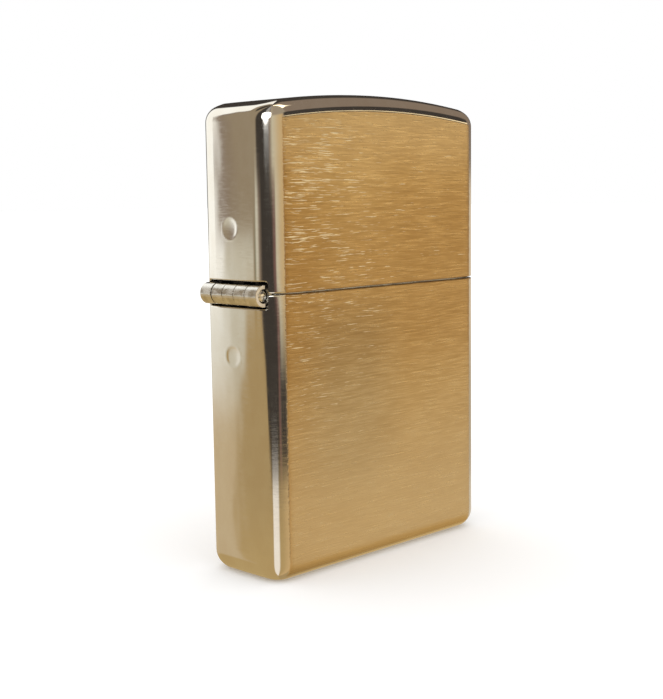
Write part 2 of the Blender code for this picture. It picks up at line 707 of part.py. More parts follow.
def make_flint_train():
    at = (WHEEL_X, 0, 0)
    tube = [
        (TUBE_BORE, TUBE_TOP),
        (TUBE_OUTER, TUBE_TOP),
        (TUBE_OUTER, TUBE_BOTTOM),
        (TUBE_BORE, TUBE_BOTTOM),
    ]
    turned("flint_tube", tube, RAW_BRASS, INSERT_BODY, at)
    flint = [
        (0, FLINT_TOP),
        (FLINT_RADIUS - FLINT_BEVEL, FLINT_TOP),
        (FLINT_RADIUS, FLINT_TOP - FLINT_BEVEL),
        (FLINT_RADIUS, FLINT_BOTTOM),
        (0, FLINT_BOTTOM),
    ]
    turned("flint", flint, FLINT_GREY, FLINT_BODY, at)
    shoulder = FOLLOWER_TOP - FOLLOWER_HEAD
    follower = [
        (0, FOLLOWER_TOP),
        (FLINT_RADIUS - FOLLOWER_BEVEL, FOLLOWER_TOP),
        (FLINT_RADIUS, FOLLOWER_TOP - FOLLOWER_BEVEL),
        (FLINT_RADIUS, shoulder),
        (STEM_RADIUS, shoulder),
        (STEM_RADIUS, shoulder - FOLLOWER_STEM),
        (0, shoulder - FOLLOWER_STEM),
    ]
    turned("flint_follower", follower, RAW_BRASS, FLINT_BODY, at)
    make_flint_spring()
    make_flint_screw()


def make_flint_spring():
    curve = bpy.data.curves.new("flint_spring", "CURVE")
    curve.dimensions = "3D"
    curve.bevel_depth = COIL_WIRE
    curve.bevel_resolution = 1
    curve.use_fill_caps = True
    per_turn = 10
    count = COIL_TURNS * per_turn
    spline = curve.splines.new("POLY")
    spline.points.add(count)
    for i, point in enumerate(spline.points):
        turn = tau * i / per_turn
        height = COIL_BOTTOM + (COIL_TOP - COIL_BOTTOM) * i / count
        point.co = (COIL_RADIUS * cos(turn), COIL_RADIUS * sin(turn), height, 1)
    curve.materials.append(SPRING_STEEL)
    obj = bpy.data.objects.new("flint_spring", curve)
    PARTS.objects.link(obj)
    place(obj, INSERT_BODY, (WHEEL_X, 0, 0))


def make_flint_screw():
    bottom = SCREW_HEAD_TOP - SCREW_HEAD
    shank = TUBE_BORE - FIT
    profile = [
        (0, SCREW_TOP + SCREW_STEM),
        (STEM_RADIUS, SCREW_TOP + SCREW_STEM),
        (STEM_RADIUS, SCREW_TOP),
        (shank, SCREW_TOP),
        (shank, SCREW_HEAD_TOP),
        (SCREW_HEAD_RADIUS, SCREW_HEAD_TOP),
        (SCREW_HEAD_RADIUS, bottom + SCREW_BEVEL),
        (SCREW_HEAD_RADIUS - SCREW_BEVEL, bottom),
        (0, bottom),
    ]
    obj = turned("flint_screw", profile, RAW_BRASS, INSERT_BODY, (WHEEL_X, 0, 0))
    reach = SCREW_HEAD_RADIUS + MM
    half = SCREW_SLOT / 2
    low = (WHEEL_X - reach, -half, bottom - MM)
    high = (WHEEL_X + reach, half, bottom + SCREW_SLOT_DEPTH)
    cut(obj, boxes((low, high)), INSERT_BODY)


# ---------------------------------------------------------------- wick, packing and felt


def wick_x(z):
    """The wick rises straight from the packing, and winds from side to side within it."""
    if z > PACKING_TOP:
        return WICK_X
    share = (PACKING_TOP - z) / (PACKING_TOP - WICK_BOTTOM)
    return WICK_X + WICK_SWAY * sin(tau * WICK_WAVES * share)


def wick_mesh(radius, bottom, top):
    curve = bpy.data.curves.new("wick", "CURVE")
    curve.dimensions = "3D"
    curve.bevel_depth = radius
    curve.bevel_resolution = 3
    curve.use_fill_caps = True
    count = 22
    spline = curve.splines.new("POLY")
    spline.points.add(count)
    for i, point in enumerate(spline.points):
        z = bottom + (top - bottom) * i / count
        point.co = (wick_x(z), 0, z, 1)
    obj = bpy.data.objects.new("wick_curve", curve)
    PARTS.objects.link(obj)
    graph = bpy.context.evaluated_depsgraph_get()
    mesh = bpy.data.meshes.new_from_object(obj.evaluated_get(graph))
    bpy.data.objects.remove(obj)
    bm = bmesh.new()
    bm.from_mesh(mesh)
    bmesh.ops.remove_doubles(bm, verts=bm.verts, dist=MM * 1e-3)
    return mesh_from(bm, "wick")


def make_wick():
    smooth(add("wick", wick_mesh(WICK_RADIUS, WICK_BOTTOM, WICK_TOP), COTTON, INSERT_BODY))


def rounded_block(name, low, high, corner, edge):
    """A block with rounded corners seen from above and softened edges."""
    bm = bmesh.new()
    low, high = Vector(low), Vector(high)
    size = Matrix.Diagonal((*(high - low), 1))
    bmesh.ops.create_cube(bm, size=1, matrix=Matrix.Translation((low + high) / 2) @ size)
    upright = [e for e in bm.edges if abs(e.verts[0].co.z - e.verts[1].co.z) > MM]
    bmesh.ops.bevel(bm, geom=upright, offset=corner, segments=3, affect="EDGES", profile=0.5)
    if edge:
        flat = [e for e in bm.edges if abs(e.verts[0].co.z - e.verts[1].co.z) < MM * 1e-3]
        rims = [e for e in flat if len({round(f.normal.z) for f in e.link_faces}) > 1]
        bmesh.ops.bevel(bm, geom=rims, offset=edge, segments=2, affect="EDGES", profile=0.5)
    return mesh_from(bm, name)


def make_packing():
    """Wads of rayon, stacked in the fuel chamber round the flint tube and the winding wick."""
    left = INSERT_LEFT + INSERT_SHEET + PACKING_MARGIN
    right = INSERT_RIGHT - INSERT_SHEET - PACKING_MARGIN
    half_y = INSERT_DEPTH / 2 - INSERT_SHEET - PACKING_MARGIN
    pitch = (PACKING_TOP - PACKING_BOTTOM) / BALLS
    for i in range(BALLS):
        bottom = PACKING_BOTTOM + i * pitch
        top = bottom + pitch - 2 * FIT
        name = f"rayon_ball_{i + 1}"
        mesh = rounded_block(name, (left, -half_y, bottom), (right, half_y, top), BALL_CORNER, BALL_ROUND)
        obj = add(name, mesh, RAYON, INSERT_BODY)
        tube = rods((TUBE_OUTER + FIT, (WHEEL_X, 0, bottom - MM), (WHEEL_X, 0, top + MM), 16))
        cut(obj, tube, INSERT_BODY)
        channel = wick_mesh(WICK_RADIUS + 2 * FIT, WICK_BOTTOM - 2 * FIT, WICK_TOP)
        cut(obj, channel, INSERT_BODY)
        smooth(obj)


def make_felt_pad():
    """The felt that closes the chamber from below, with a hole for the flint screw."""
    half_y = INSERT_DEPTH / 2 - INSERT_SHEET - FIT
    low = (INSERT_LEFT + INSERT_SHEET + FIT, -half_y, FELT_BOTTOM)
    high = (INSERT_RIGHT - INSERT_SHEET - FIT, half_y, FELT_TOP)
    mesh = rounded_block("felt_pad", low, high, INSERT_CORNER - INSERT_SHEET, 0)
    obj = add("felt_pad", mesh, FELT, INSERT_BODY)
    ends = [(WHEEL_X, 0, z) for z in (FELT_BOTTOM - MM, FELT_TOP + MM)]
    return smooth(cut(obj, rods((SCREW_HEAD_RADIUS + 3 * FIT, *ends)), INSERT_BODY))


make_bottom_case()
make_lid_case()
make_hinge()
make_insert_case()
make_chimney()
make_wheel()
make_cam()
make_cam_spring()
make_flint_train()
make_wick()
make_packing()
make_felt_pad()
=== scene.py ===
"""A flip-top petrol lighter in brushed brass, with its inner works, on a pale floor.

Metres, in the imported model's frame: the base stands on z = 0, the hinge is on the -X side and the front
faces -Y. Places and sizes come from the frame's boxes; only what the frame doesn't say is a constant here.
Every piece is drawn where it is at rest, so object coordinates in a material are places on the lighter.
"""

from math import acos, asin, atan2, cos, degrees, hypot, pi, radians, sin, sqrt, tau

import bmesh
import bpy
from mathutils import Matrix, Vector, noise


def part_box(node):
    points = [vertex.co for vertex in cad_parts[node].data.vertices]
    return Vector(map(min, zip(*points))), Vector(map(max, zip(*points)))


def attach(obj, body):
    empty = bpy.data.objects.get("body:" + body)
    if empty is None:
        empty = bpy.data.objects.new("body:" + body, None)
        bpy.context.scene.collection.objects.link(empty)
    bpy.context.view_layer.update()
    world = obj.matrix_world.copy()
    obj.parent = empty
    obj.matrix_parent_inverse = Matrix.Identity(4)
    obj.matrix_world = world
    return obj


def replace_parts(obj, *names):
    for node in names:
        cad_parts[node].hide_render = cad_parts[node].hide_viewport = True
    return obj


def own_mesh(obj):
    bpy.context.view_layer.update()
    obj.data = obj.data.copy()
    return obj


MM = 0.001

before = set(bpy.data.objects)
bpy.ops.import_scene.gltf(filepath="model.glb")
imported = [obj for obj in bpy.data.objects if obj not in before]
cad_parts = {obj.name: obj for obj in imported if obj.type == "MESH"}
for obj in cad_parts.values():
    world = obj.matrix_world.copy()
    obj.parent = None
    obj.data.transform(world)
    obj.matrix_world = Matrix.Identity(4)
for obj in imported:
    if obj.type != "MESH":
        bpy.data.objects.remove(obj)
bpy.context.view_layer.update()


def middle(node):
    low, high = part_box(node)
    return (low + high) / 2


def radius_of(node):
    low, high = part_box(node)
    return (high.x - low.x) / 2


LID_LOW, LID_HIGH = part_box("lid_case")
BASE_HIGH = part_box("bottom_case")[1]
INSERT_LOW, INSERT_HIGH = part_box("insert_case")
CHIMNEY_LOW, CHIMNEY_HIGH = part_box("chimney")
BARREL_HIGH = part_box("hinge_leaf_upper")[1]

CASE_X = middle("lid_case").x
HALF_X = radius_of("lid_case")
HALF_Y = LID_HIGH.y
TOP_Z = LID_HIGH.z
LID_RIM = LID_LOW.z
BASE_RIM = BASE_HIGH.z
AXIS = middle("hinge_pin")
WHEEL = middle("striker_wheel")
CAM = middle("cam_rivet")

# Outer case
WALL = 0.65 * MM
CORNER = 3.0 * MM
BASE_ROUND = 2.4 * MM
TOP_ROUND = 2.0 * MM
DOME_RISE = 1.45 * MM
RIM_ROUND = 0.12 * MM
RIM_GUARD = 0.06 * MM  # a narrow band that keeps the walls flat to the light right down to the rounded rim
RECESS_DEPTH = 0.35 * MM
RECESS_MARGIN = 0.75 * MM
RECESS_SLOPE = 0.4 * MM
NOTCH_HALF = 5.15 * MM
NOTCH_ABOVE = 1.6 * MM
NOTCH_BELOW = 1.5 * MM
NOTCH_FILLET = 0.35 * MM
WELD_ABOVE = 7.65 * MM
WELD_BELOW = 7.3 * MM
WELD_RADIUS = 1.35 * MM
WELD_BACK = 0.45 * MM  # both welds sit a little behind the middle
WELD_DEPTH = 0.022 * MM
WELD_LIP = 0.006 * MM
SIDE_CROWN = 0.035 * MM  # how far a narrow side falls back from its middle to its corners
BRUSHED_HALF = HALF_X - CORNER + 0.7 * MM
ARCH = (HALF_X**2 + DOME_RISE**2) / (2 * DOME_RISE)  # radius of the lid's arched top

# Hinge
BARREL = 1.27 * MM
LEAF_SHEET = 0.45 * MM
KNUCKLES = 5
KNUCKLE_GAP = 0.05 * MM
LOOSE_GAP = 0.18 * MM  # between the two knuckles at the back, which have worked apart
PIN_SUNK = 0.14 * MM
PIN_CROWN = 0.45  # height of its domed end, as a share of its radius
LEAF_HALF = 3.45 * MM
LEAF_REACH = 11.0 * MM
PLATE_START = 1.45 * MM
PLATE_OUT = LID_LOW.x + WALL + 0.05 * MM - AXIS.x

# Insert and chimney, whose plan is measured from the middle of the case
FIT = 0.05 * MM
INSERT_SHEET = 0.4 * MM
INSERT_CORNER = 2.3 * MM
INSERT_ROUND = 0.9 * MM
CHIMNEY_SHEET = 0.45 * MM
CHIMNEY_CORNER = 1.9 * MM
SCREEN_LEFT = -3.0 * MM
STEP_START = -3.6 * MM
STEP_END = -1.3 * MM
STEP_RISE = 1.7 * MM  # where the screen's shoulder starts and ends, above the wheel's axle
SHOULDER_RISE = 2.3 * MM
EAR_HALF = 3.6 * MM
WHEEL_EAR = 2.6 * MM
CAM_EAR = 2.3 * MM
HOLE_RADIUS = 1.15 * MM
HOLE_COUNTS = (3, 2, 3)
HOLE_PITCH_X = 4.3 * MM
HOLE_PITCH_Z = 3.9 * MM
HOLES_X = 5.4 * MM
HOLES_Z = 44.6 * MM

# Wheel, cam and springs
WHEEL_PIN = 0.75 * MM
WHEEL_TEETH = 30
TOOTH_DEPTH = 0.3 * MM
TOOTH_SLANT = 1.6
TOOTH_STEPS = 8  # points round the rim for each tooth
RIM_STEPS = 30  # rings across the rim
GROOVE_NARROW = 2.4  # a groove is this much narrower than the pitch of the teeth
CREST_FROM = 3.58  # the worn crests of the teeth, in mm from the axle
CREST_TO = 3.74
RIM_BEVEL = 0.18 * MM
HUB = 1.9 * MM
HUB_SUNK = 0.25 * MM
HEAD_EDGE = 0.06 * MM  # the upright edge round a rivet's domed head
HEAD_UNDERCUT = 0.05 * MM
HEAD_DISH = ((0, 0.72), (0.3, 0.8), (0.42, 1.0))  # where it was struck, in shares of its radius and height
CAM_PIN = 0.6 * MM
CAM_RISE = 38
CAM_SWING = 66
CAM_FLAT = 1.75 * MM
CAM_CROWN = 1.82 * MM
CAM_HEEL = 1.1 * MM
CAM_HUB = 1.65 * MM
CAM_REACH = 6.15 * MM
CAM_NOSE = 0.5 * MM
SPRING_STRIP = 0.32 * MM
SPRING_FOOT_LEFT = -10.5 * MM
SPRING_RIVET = 0.45 * MM
SPRING_LEAN = 0.85 * MM  # how far the strip leans out as it rises from its foot
BLADE_BEND = 1.05 * MM  # the blade droops from here, beyond the cam's axis
BLADE_SHORT = 0.15 * MM
BLADE_DROOP = 0.6 * MM

# Flint train, whose parts are round this upright line
FLINT_LINE = (WHEEL.x, 0, 0)
TUBE = 1.75 * MM
BORE = 1.35 * MM
TUBE_LIP = 0.1 * MM
FLINT_TOP_EDGE = 0.2 * MM
FLINT_FOOT_EDGE = 0.1 * MM
FLINT_GRAIN = 0.35 * MM
FLINT_PITS = 0.03  # depth of its pits, as a share of its radius
FOLLOWER_HEAD = 2.4 * MM
FOLLOWER_EDGE = 0.12 * MM
STEM = 0.55 * MM
COIL_WIRE = 0.2 * MM
COIL_TURNS = 18
COIL_STEPS = 28  # points along each turn
CLOSED_PITCH = 2.2  # rise of a closed end turn, in radii of the wire
SCREW_SLOT = 0.55 * MM
SLOT_DEPTH = 0.45 * MM
SCREW_NECK = 1.2 * MM
SCREW_EDGE = 0.15 * MM
SCREW_STEPS = 96
THREAD_PITCH = 0.4 * MM
THREAD_DEPTH = 0.13 * MM
MILLING = 0.03  # depth of the milled edge, as a share of the head's radius

# Wick and packing
WICK = 1.45 * MM
WICK_X = CASE_X + 4.6 * MM
WICK_FOOT = 5.6 * MM
WICK_SWAY = 1.6 * MM
WICK_WAVES = 1.5
YARN = 0.47 * MM
YARNS = 6  # round one in the middle
YARN_LAY = 9.0 * MM
YARN_SHORT = (0.0, 0.5, 0.2, 0.65, 0.1, 0.4, 0.3)  # how much lower each yarn was cut
FRAYED = 60  # loose fibres at the tip
WIRE = 0.08 * MM
WIRE_LAY = -5.5 * MM  # the copper wires wind the other way
SINGED = 41.6  # the height in mm where the wick starts to darken
FLAME_Z = 46.0  # the middle of the smoked part of the windscreen, in mm
PACKING_TOP = 34.2 * MM
BALLS = 5
WAD_SQUARE = 5  # the power that makes a wad a rounded block
WAD_CRUMPLE = 0.5 * MM
WAD_STEPS = 22
FELT_EDGE = 0.3 * MM

ROUND_STEPS = 12  # round a quarter turn of a case corner
SIDE_STEPS = 14  # along half of a narrow side
FRONT_STEPS = 24  # along the front or back
WALL_STEP = 2.2 * MM  # up a wall
FINE_STEP = 0.2 * MM  # up a wall, over a spot weld

# ---- materials


class Nodes:
    """A node tree, with short calls for the nodes used here. A value is a number, a tuple or an output."""

    def __init__(self, tree):
        self.tree = tree

    def feed(self, target, value):
        if isinstance(value, bpy.types.NodeSocket):
            self.tree.links.new(value, target)
        elif hasattr(target.default_value, "__len__") and len(target.default_value) == 4:
            target.default_value = (*value, 1)
        else:
            target.default_value = value

    def add(self, kind, inputs=(), **settings):
        node = self.tree.nodes.new("ShaderNode" + kind)
        for key, value in settings.items():
            setattr(node, key, value)
        for key, value in dict(inputs).items():
            self.feed(node.inputs[key], value)
        return node

    def math(self, operation, *values, clamp=False):
        made = self.add("Math", dict(enumerate(values)), operation=operation, use_clamp=clamp)
        return made.outputs[0]

    def plus(self, first, second):
        return self.math("ADD", first, second)

    def minus(self, first, second):
        return self.math("SUBTRACT", first, second)

    def times(self, first, second):
        return self.math("MULTIPLY", first, second)

    def gap(self, first, second):
        return self.math("ABSOLUTE", self.minus(first, second))

    def vector(self, operation, *values):
        return self.add("VectorMath", dict(enumerate(values)), operation=operation)

    def apart(self, vector):
        return self.add("SeparateXYZ", {0: vector}).outputs

    def span(self, value, low, high, to_low=0.0, to_high=1.0):
        """A smooth step from to_low at low to to_high at high."""
        values = {0: value, 1: low, 2: high, 3: to_low, 4: to_high}
        return self.add("MapRange", values, interpolation_type="SMOOTHSTEP").outputs[0]

    def band(self, value, start, low, high, end):
        """1 from low to high, and a smooth fall to 0 at start and end."""
        return self.times(self.span(value, start, low), self.span(value, end, high))

    def fade(self, value, start, end, first, second):
        """A smooth change of colour while the value goes from start to end."""
        return self.mix(self.span(value, start, end), first, second)

    def mix(self, factor, first, second, blend="MIX"):
        made = self.add("Mix", data_type="RGBA", blend_type=blend)
        for key, value in ((0, factor), (6, first), (7, second)):
            self.feed(made.inputs[key], value)
        return made.outputs[2]

    def ramp(self, value, *stops):
        """Colours along a scale: (place from 0 to 1, colour) pairs."""
        made = self.add("ValToRGB", {0: value})
        points = made.color_ramp.elements
        while len(points) < len(stops):
            points.new(0.5)
        for point, (place, colour) in zip(points, stops):
            point.position = place
            point.color = (*colour, 1)
        return made.outputs[0]

    def noise(self, vector, scale=1.0, **how):
        """Noise texture. Words are its socket names in lower case."""
        values = {key.capitalize(): value for key, value in how.items()}
        return self.add("TexNoise", {"Vector": vector, "Scale": scale, **values}).outputs[0]


class Shader(Nodes):
    """A Principled material. Words are socket names with _ for a space."""

    def __init__(self, name, **values):
        self.material = bpy.data.materials.new(name)
        self.material.use_nodes = True
        super().__init__(self.material.node_tree)
        self.bsdf = self.tree.nodes["Principled BSDF"]
        self.set(**values)

    def set(self, **values):
        for socket, value in values.items():
            self.feed(self.bsdf.inputs[socket.replace("_", " ")], value)
        return self.material

    def place(self):
        """The point at rest, in millimetres."""
        at = self.add("TexCoord").outputs["Object"]
        return self.add("VectorMath", {0: at, "Scale": 1 / MM}, operation="SCALE").outputs[0]

    def stretched(self, at, x, y, z, **how):
        """Noise whose grain is drawn out: x, y and z are its scales per millimetre."""
        return self.noise(self.vector("MULTIPLY", at, (x, y, z)).outputs[0], **how)

    def bump(self, height, depth, normal=None):
        values = {"Height": height, "Strength": 1.0, "Distance": depth}
        if normal is not None:
            values["Normal"] = normal
        return self.add("Bump", values).outputs[0]


def brushed_area(s, at):
    """1 on the brushed front and back, and 0 on the polished sides, corners and edges."""
    x, y, z = s.apart(at)
    across = s.gap(x, CASE_X / MM)
    arch = ARCH / MM
    drop = s.minus(arch, s.math("SQRT", s.minus(arch**2, s.math("POWER", across, 2.0))))
    top = s.minus((TOP_Z - TOP_ROUND) / MM, drop)
    wobble = s.times(s.minus(s.stretched(at, 0.1, 1, 2.5, detail=3.0), 0.5), 0.3)
    edge = s.plus(across, wobble)
    sides = s.span(edge, BRUSHED_HALF / MM - 0.12, BRUSHED_HALF / MM + 0.12, 1.0, 0.0)
    under = s.span(s.minus(z, top), -0.07, 0.03, 1.0, 0.0)
    over = s.span(z, 0.5, 1.1)
    flat = s.span(s.math("ABSOLUTE", y), HALF_Y / MM - 1.3, HALF_Y / MM - 0.9)
    return s.times(s.times(sides, under), s.times(over, flat))


def case_outside():
    """Brass, brushed across the front and back, and plated and polished round the sides and edges."""
    s = Shader("case_brass", Metallic=1.0, Anisotropic=0.6, Anisotropic_Rotation=0.25)
    at = s.place()
    x, _, z = s.apart(at)
    brushed = brushed_area(s, at)

    # the grain of the brushing, and painted glints on its brightest strokes, painted densest above and
    # towards the hinge as highlights
    sway = s.times(s.minus(s.noise(at, 0.1, detail=1.0), 0.5), 0.45)
    hand = s.vector("ADD", at, s.add("CombineXYZ", {2: sway}).outputs[0]).outputs[0]
    lines = s.stretched(hand, 0.3, 1, 9, detail=3.0, roughness=0.6)
    strokes = s.stretched(hand, 0.42, 1, 8.5, detail=2.0, roughness=0.55)
    patches = s.stretched(at, 0.16, 1, 0.3, detail=2.0)
    # bright makes the painted glints thicker towards the hinge and the top
    bright = s.plus(s.span(x, -15.0, 9.0, 0.055, -0.07), s.span(z, 8.0, 42.0, -0.1, 0.03))
    lit = s.plus(strokes, s.plus(bright, s.times(patches, 0.2)))
    painted_glints = s.span(lit, 0.75, 0.83)

    # gold, with a random tone, painted shade round the seam and towards the hinge, a painted brighter patch
    # high on the front, a painted greyish shade low on it, and painted light that makes it paler near the
    # foot and the top
    tone = s.stretched(at, 0.12, 1, 0.2, detail=3.0)
    gold = s.fade(tone, 0.3, 0.7, (0.67, 0.47, 0.215), (0.76, 0.56, 0.28))
    gold = s.mix(s.span(lines, 0.66, 0.3, 0.0, 0.5), gold, (0.5, 0.32, 0.12))
    gold = s.mix(s.span(lines, 0.52, 0.75, 0.0, 0.55), gold, (0.92, 0.75, 0.44))
    seam = s.math("MINIMUM", s.span(z, 20.0, 30.0), s.span(z, 54.0, 40.0))
    # worn: painted shade round the seam and towards the hinge, mixed with a random tone
    worn = s.plus(s.times(seam, 0.62), s.span(x, -17.0, -6.0, 0.34, 0.0))
    worn = s.plus(worn, s.times(s.minus(tone, 0.5), 0.5))
    # across the middle of the front: a painted bright patch on the lid and a painted greyish shade lower
    # down
    painted_light_band = s.span(s.gap(x, -6.0), 12.0, 2.0)
    painted_bright_patch = s.times(painted_light_band, s.band(z, 37.0, 44.0, 49.0, 54.0))
    worn = s.minus(worn, s.times(painted_bright_patch, 0.25))
    gold = s.mix(worn, gold, (0.79, 0.69, 0.55), "MULTIPLY")
    # dull is the painted greyish shade
    dull = s.times(painted_light_band, s.band(z, 5.0, 14.0, 28.0, 36.0))
    gold = s.mix(dull, gold, (0.84, 0.88, 0.98), "MULTIPLY")
    # painted light: paler towards the foot and the top
    gold = s.mix(s.span(z, 26.0, 4.0, 0.0, 0.6), gold, (0.86, 0.7, 0.43))
    gold = s.mix(s.span(z, 46.0, 56.0, 0.0, 0.6), gold, (0.82, 0.64, 0.38))
    # painted highlights: the glints lighten the colour
    gold = s.mix(painted_glints, gold, (1.0, 0.92, 0.72))

    # the plated sides and edges, faintly smudged
    smudge = s.stretched(at, 0.5, 0.5, 0.35, detail=3.0)
    plate = s.fade(smudge, 0.3, 0.75, (0.85, 0.81, 0.73), (0.88, 0.855, 0.79))
    fine = s.stretched(at, 0.9, 0.9, 9.0, detail=2.0)
    polish = s.span(fine, 0.35, 0.75, 0.05, 0.1)
    rough = s.span(lines, 0.3, 0.7, 0.36, 0.27)
    s.set(Base_Color=s.mix(brushed, plate, gold))
    s.set(Roughness=s.plus(s.times(brushed, s.minus(rough, polish)), polish))

    swell = s.stretched(at, 0.25, 0.25, 0.09, detail=1.0)
    rolled = s.bump(swell, 0.03 * MM)
    scored = s.times(brushed, s.plus(lines, s.times(strokes, 0.8)))
    s.set(Normal=s.bump(scored, 0.02 * MM, rolled))
    return s.set(Tangent=s.add("Tangent", direction_type="RADIAL", axis="Z").outputs[0])


def case_inside():
    """The drawn brass inside, dull, with faint upright die lines."""
    s = Shader("case_brass_inside", Metallic=1.0)
    at = s.place()
    lines = s.stretched(at, 5, 5, 0.12, detail=2.0)
    blotch = s.stretched(at, 0.3, 0.3, 0.3, detail=3.0)
    colour = s.fade(blotch, 0.3, 0.7, (0.74, 0.59, 0.34), (0.82, 0.68, 0.42))
    s.set(Base_Color=s.fade(lines, 0.35, 0.8, colour, (0.86, 0.74, 0.48)))
    s.set(Roughness=s.span(blotch, 0.3, 0.7, 0.34, 0.48))
    return s.set(Normal=s.bump(lines, 0.006 * MM))


def metal(name, dark, light, rough, grain, depth=0.01):
    """A worked metal: two tones, a span of roughness, and a grain by its scales per mm along x, y and z."""
    s = Shader(name, Metallic=1.0)
    at = s.place()
    lines = s.stretched(at, *grain, detail=3.0)
    blotch = s.noise(at, 0.6, detail=3.0)
    s.set(Base_Color=s.fade(s.mix(0.5, lines, blotch), 0.3, 0.7, dark, light))
    s.set(Roughness=s.span(blotch, 0.3, 0.7, *rough))
    return s.set(Normal=s.bump(lines, depth * MM))


CASE_OUTSIDE = case_outside()
CASE_INSIDE = case_inside()


def hinge_nickel():
    """Plated nickel, worn on the barrel, with painted black shade down in the notch."""
    s = Shader("hinge_nickel", Metallic=1.0)
    at = s.place()
    lines = s.stretched(at, 3, 0.5, 3, detail=3.0)
    blotch = s.noise(at, 0.9, detail=4.0)
    plate = s.fade(blotch, 0.3, 0.7, (0.68, 0.66, 0.6), (0.9, 0.89, 0.85))
    x, _, z = s.apart(at)
    # painted shade: black down in the notch behind the barrel, where the crevice lies in shadow
    inward = s.plus(x, s.times(blotch, 0.1))
    depth = s.span(inward, LID_LOW.x / MM + 0.35, LID_LOW.x / MM + 0.6)
    off = s.gap(z, AXIS.z / MM)
    notch = s.times(s.span(off, 0.6, 1.0, 0.3, 1.0), s.span(off, 3.4, 2.4))
    painted_notch_shade = s.times(depth, notch)
    s.set(Base_Color=s.mix(painted_notch_shade, plate, (0.035, 0.03, 0.025)))
    s.set(Roughness=s.plus(s.span(blotch, 0.3, 0.7, 0.1, 0.22), s.times(painted_notch_shade, 0.4)))
    return s.set(Normal=s.bump(lines, 0.015 * MM))


NICKEL = hinge_nickel()
STEEL = metal("sheet_steel", (0.56, 0.555, 0.54), (0.68, 0.675, 0.66), (0.2, 0.32), (0.4, 0.4, 9))
RIVET_STEEL = metal("rivet_steel", (0.6, 0.59, 0.57), (0.75, 0.74, 0.72), (0.14, 0.3), (2, 2, 2))
CAM_STEEL = metal("cam_steel", (0.5, 0.5, 0.49), (0.66, 0.66, 0.64), (0.2, 0.36), (0.8, 8, 0.8), 0.015)
BLUED = metal("spring_steel_blued", (0.34, 0.35, 0.38), (0.55, 0.55, 0.56), (0.16, 0.3), (3, 3, 3))
TURNED = metal("turned_brass", (0.66, 0.46, 0.18), (0.83, 0.64, 0.31), (0.2, 0.34), (0.3, 0.3, 12), 0.015)
COPPER = metal("copper_wire", (0.7, 0.33, 0.17), (0.9, 0.5, 0.3), (0.25, 0.4), (4, 4, 4))


def sooted_steel():
    """The windscreen: brushed sheet steel, faintly straw-tinted and smoked near the flame."""
    s = Shader("windscreen_steel", Metallic=1.0)
    at = s.place()
    lines = s.stretched(at, 0.35, 0.35, 9, detail=3.0)
    blotch = s.noise(at, 0.45, detail=4.0)
    apart = s.vector("SUBTRACT", at, (WICK_X / MM, 0, FLAME_Z)).outputs[0]
    near = s.span(s.vector("LENGTH", apart).outputs["Value"], 4.0, 8.5, 1.0, 0.0)
    steel = s.fade(lines, 0.3, 0.75, (0.58, 0.57, 0.55), (0.72, 0.71, 0.69))
    tint = s.mix(s.times(near, s.span(blotch, 0.35, 0.7, 0.1, 0.6)), steel, (0.5, 0.42, 0.3))
    sooty = s.plus(blotch, s.times(near, 0.3))
    s.set(Base_Color=tint, Roughness=s.span(sooty, 0.3, 0.9, 0.2, 0.48))
    return s.set(Normal=s.bump(lines, 0.012 * MM))


def wheel_steel():
    """Hardened steel, dark in the grooves and bright along the worn crests of the teeth."""
    s = Shader("striker_wheel_steel", Metallic=1.0)
    at = s.place()
    apart = s.vector("SUBTRACT", at, tuple(WHEEL / MM)).outputs[0]
    apart = s.vector("MULTIPLY", apart, (1, 0, 1)).outputs[0]
    reach = s.vector("LENGTH", apart).outputs["Value"]
    crest = s.span(reach, CREST_FROM, CREST_TO)
    blotch = s.noise(at, 1.2, detail=4.0)
    dark = s.fade(blotch, 0.3, 0.7, (0.13, 0.13, 0.135), (0.24, 0.235, 0.23))
    bright = s.times(crest, s.span(blotch, 0.2, 0.6, 0.5, 1.0))
    s.set(Base_Color=s.mix(bright, dark, (0.56, 0.55, 0.53)))
    s.set(Roughness=s.mix(crest, (0.5, 0.5, 0.5), (0.26, 0.26, 0.26)))
    return s.set(Normal=s.bump(s.noise(at, 9.0, detail=2.0), 0.02 * MM))


def fibrous(name, dark, light, scales, fuzz, depth, tip=None):
    """Matt fibre: two tones along its strands, fuzz in its sheen, and a darker tip above a height in mm."""
    s = Shader(name, Roughness=0.92, Sheen_Weight=fuzz, Sheen_Roughness=0.5, Specular_IOR_Level=0.2)
    at = s.place()
    strands = s.stretched(at, *scales, detail=4.0, roughness=0.65, distortion=0.6)
    clumps = s.noise(at, 0.7, detail=3.0)
    colour = s.fade(s.times(s.plus(strands, clumps), 0.5), 0.36, 0.62, dark, light)
    if tip:
        singed = s.span(s.plus(s.apart(at)[2], s.times(strands, 0.8)), tip, tip + 1.6)
        colour = s.mix(singed, colour, (0.035, 0.028, 0.022))
    s.set(Base_Color=colour)
    return s.set(Normal=s.bump(strands, depth * MM))


def flint_stone():
    s = Shader("flint_alloy", Metallic=0.7)
    at = s.place()
    grains = s.noise(at, 5.0, detail=4.0, roughness=0.7)
    s.set(Base_Color=s.fade(grains, 0.35, 0.7, (0.11, 0.105, 0.1), (0.33, 0.32, 0.3)))
    s.set(Roughness=s.span(grains, 0.3, 0.7, 0.75, 0.45))
    return s.set(Normal=s.bump(grains, 0.05 * MM))


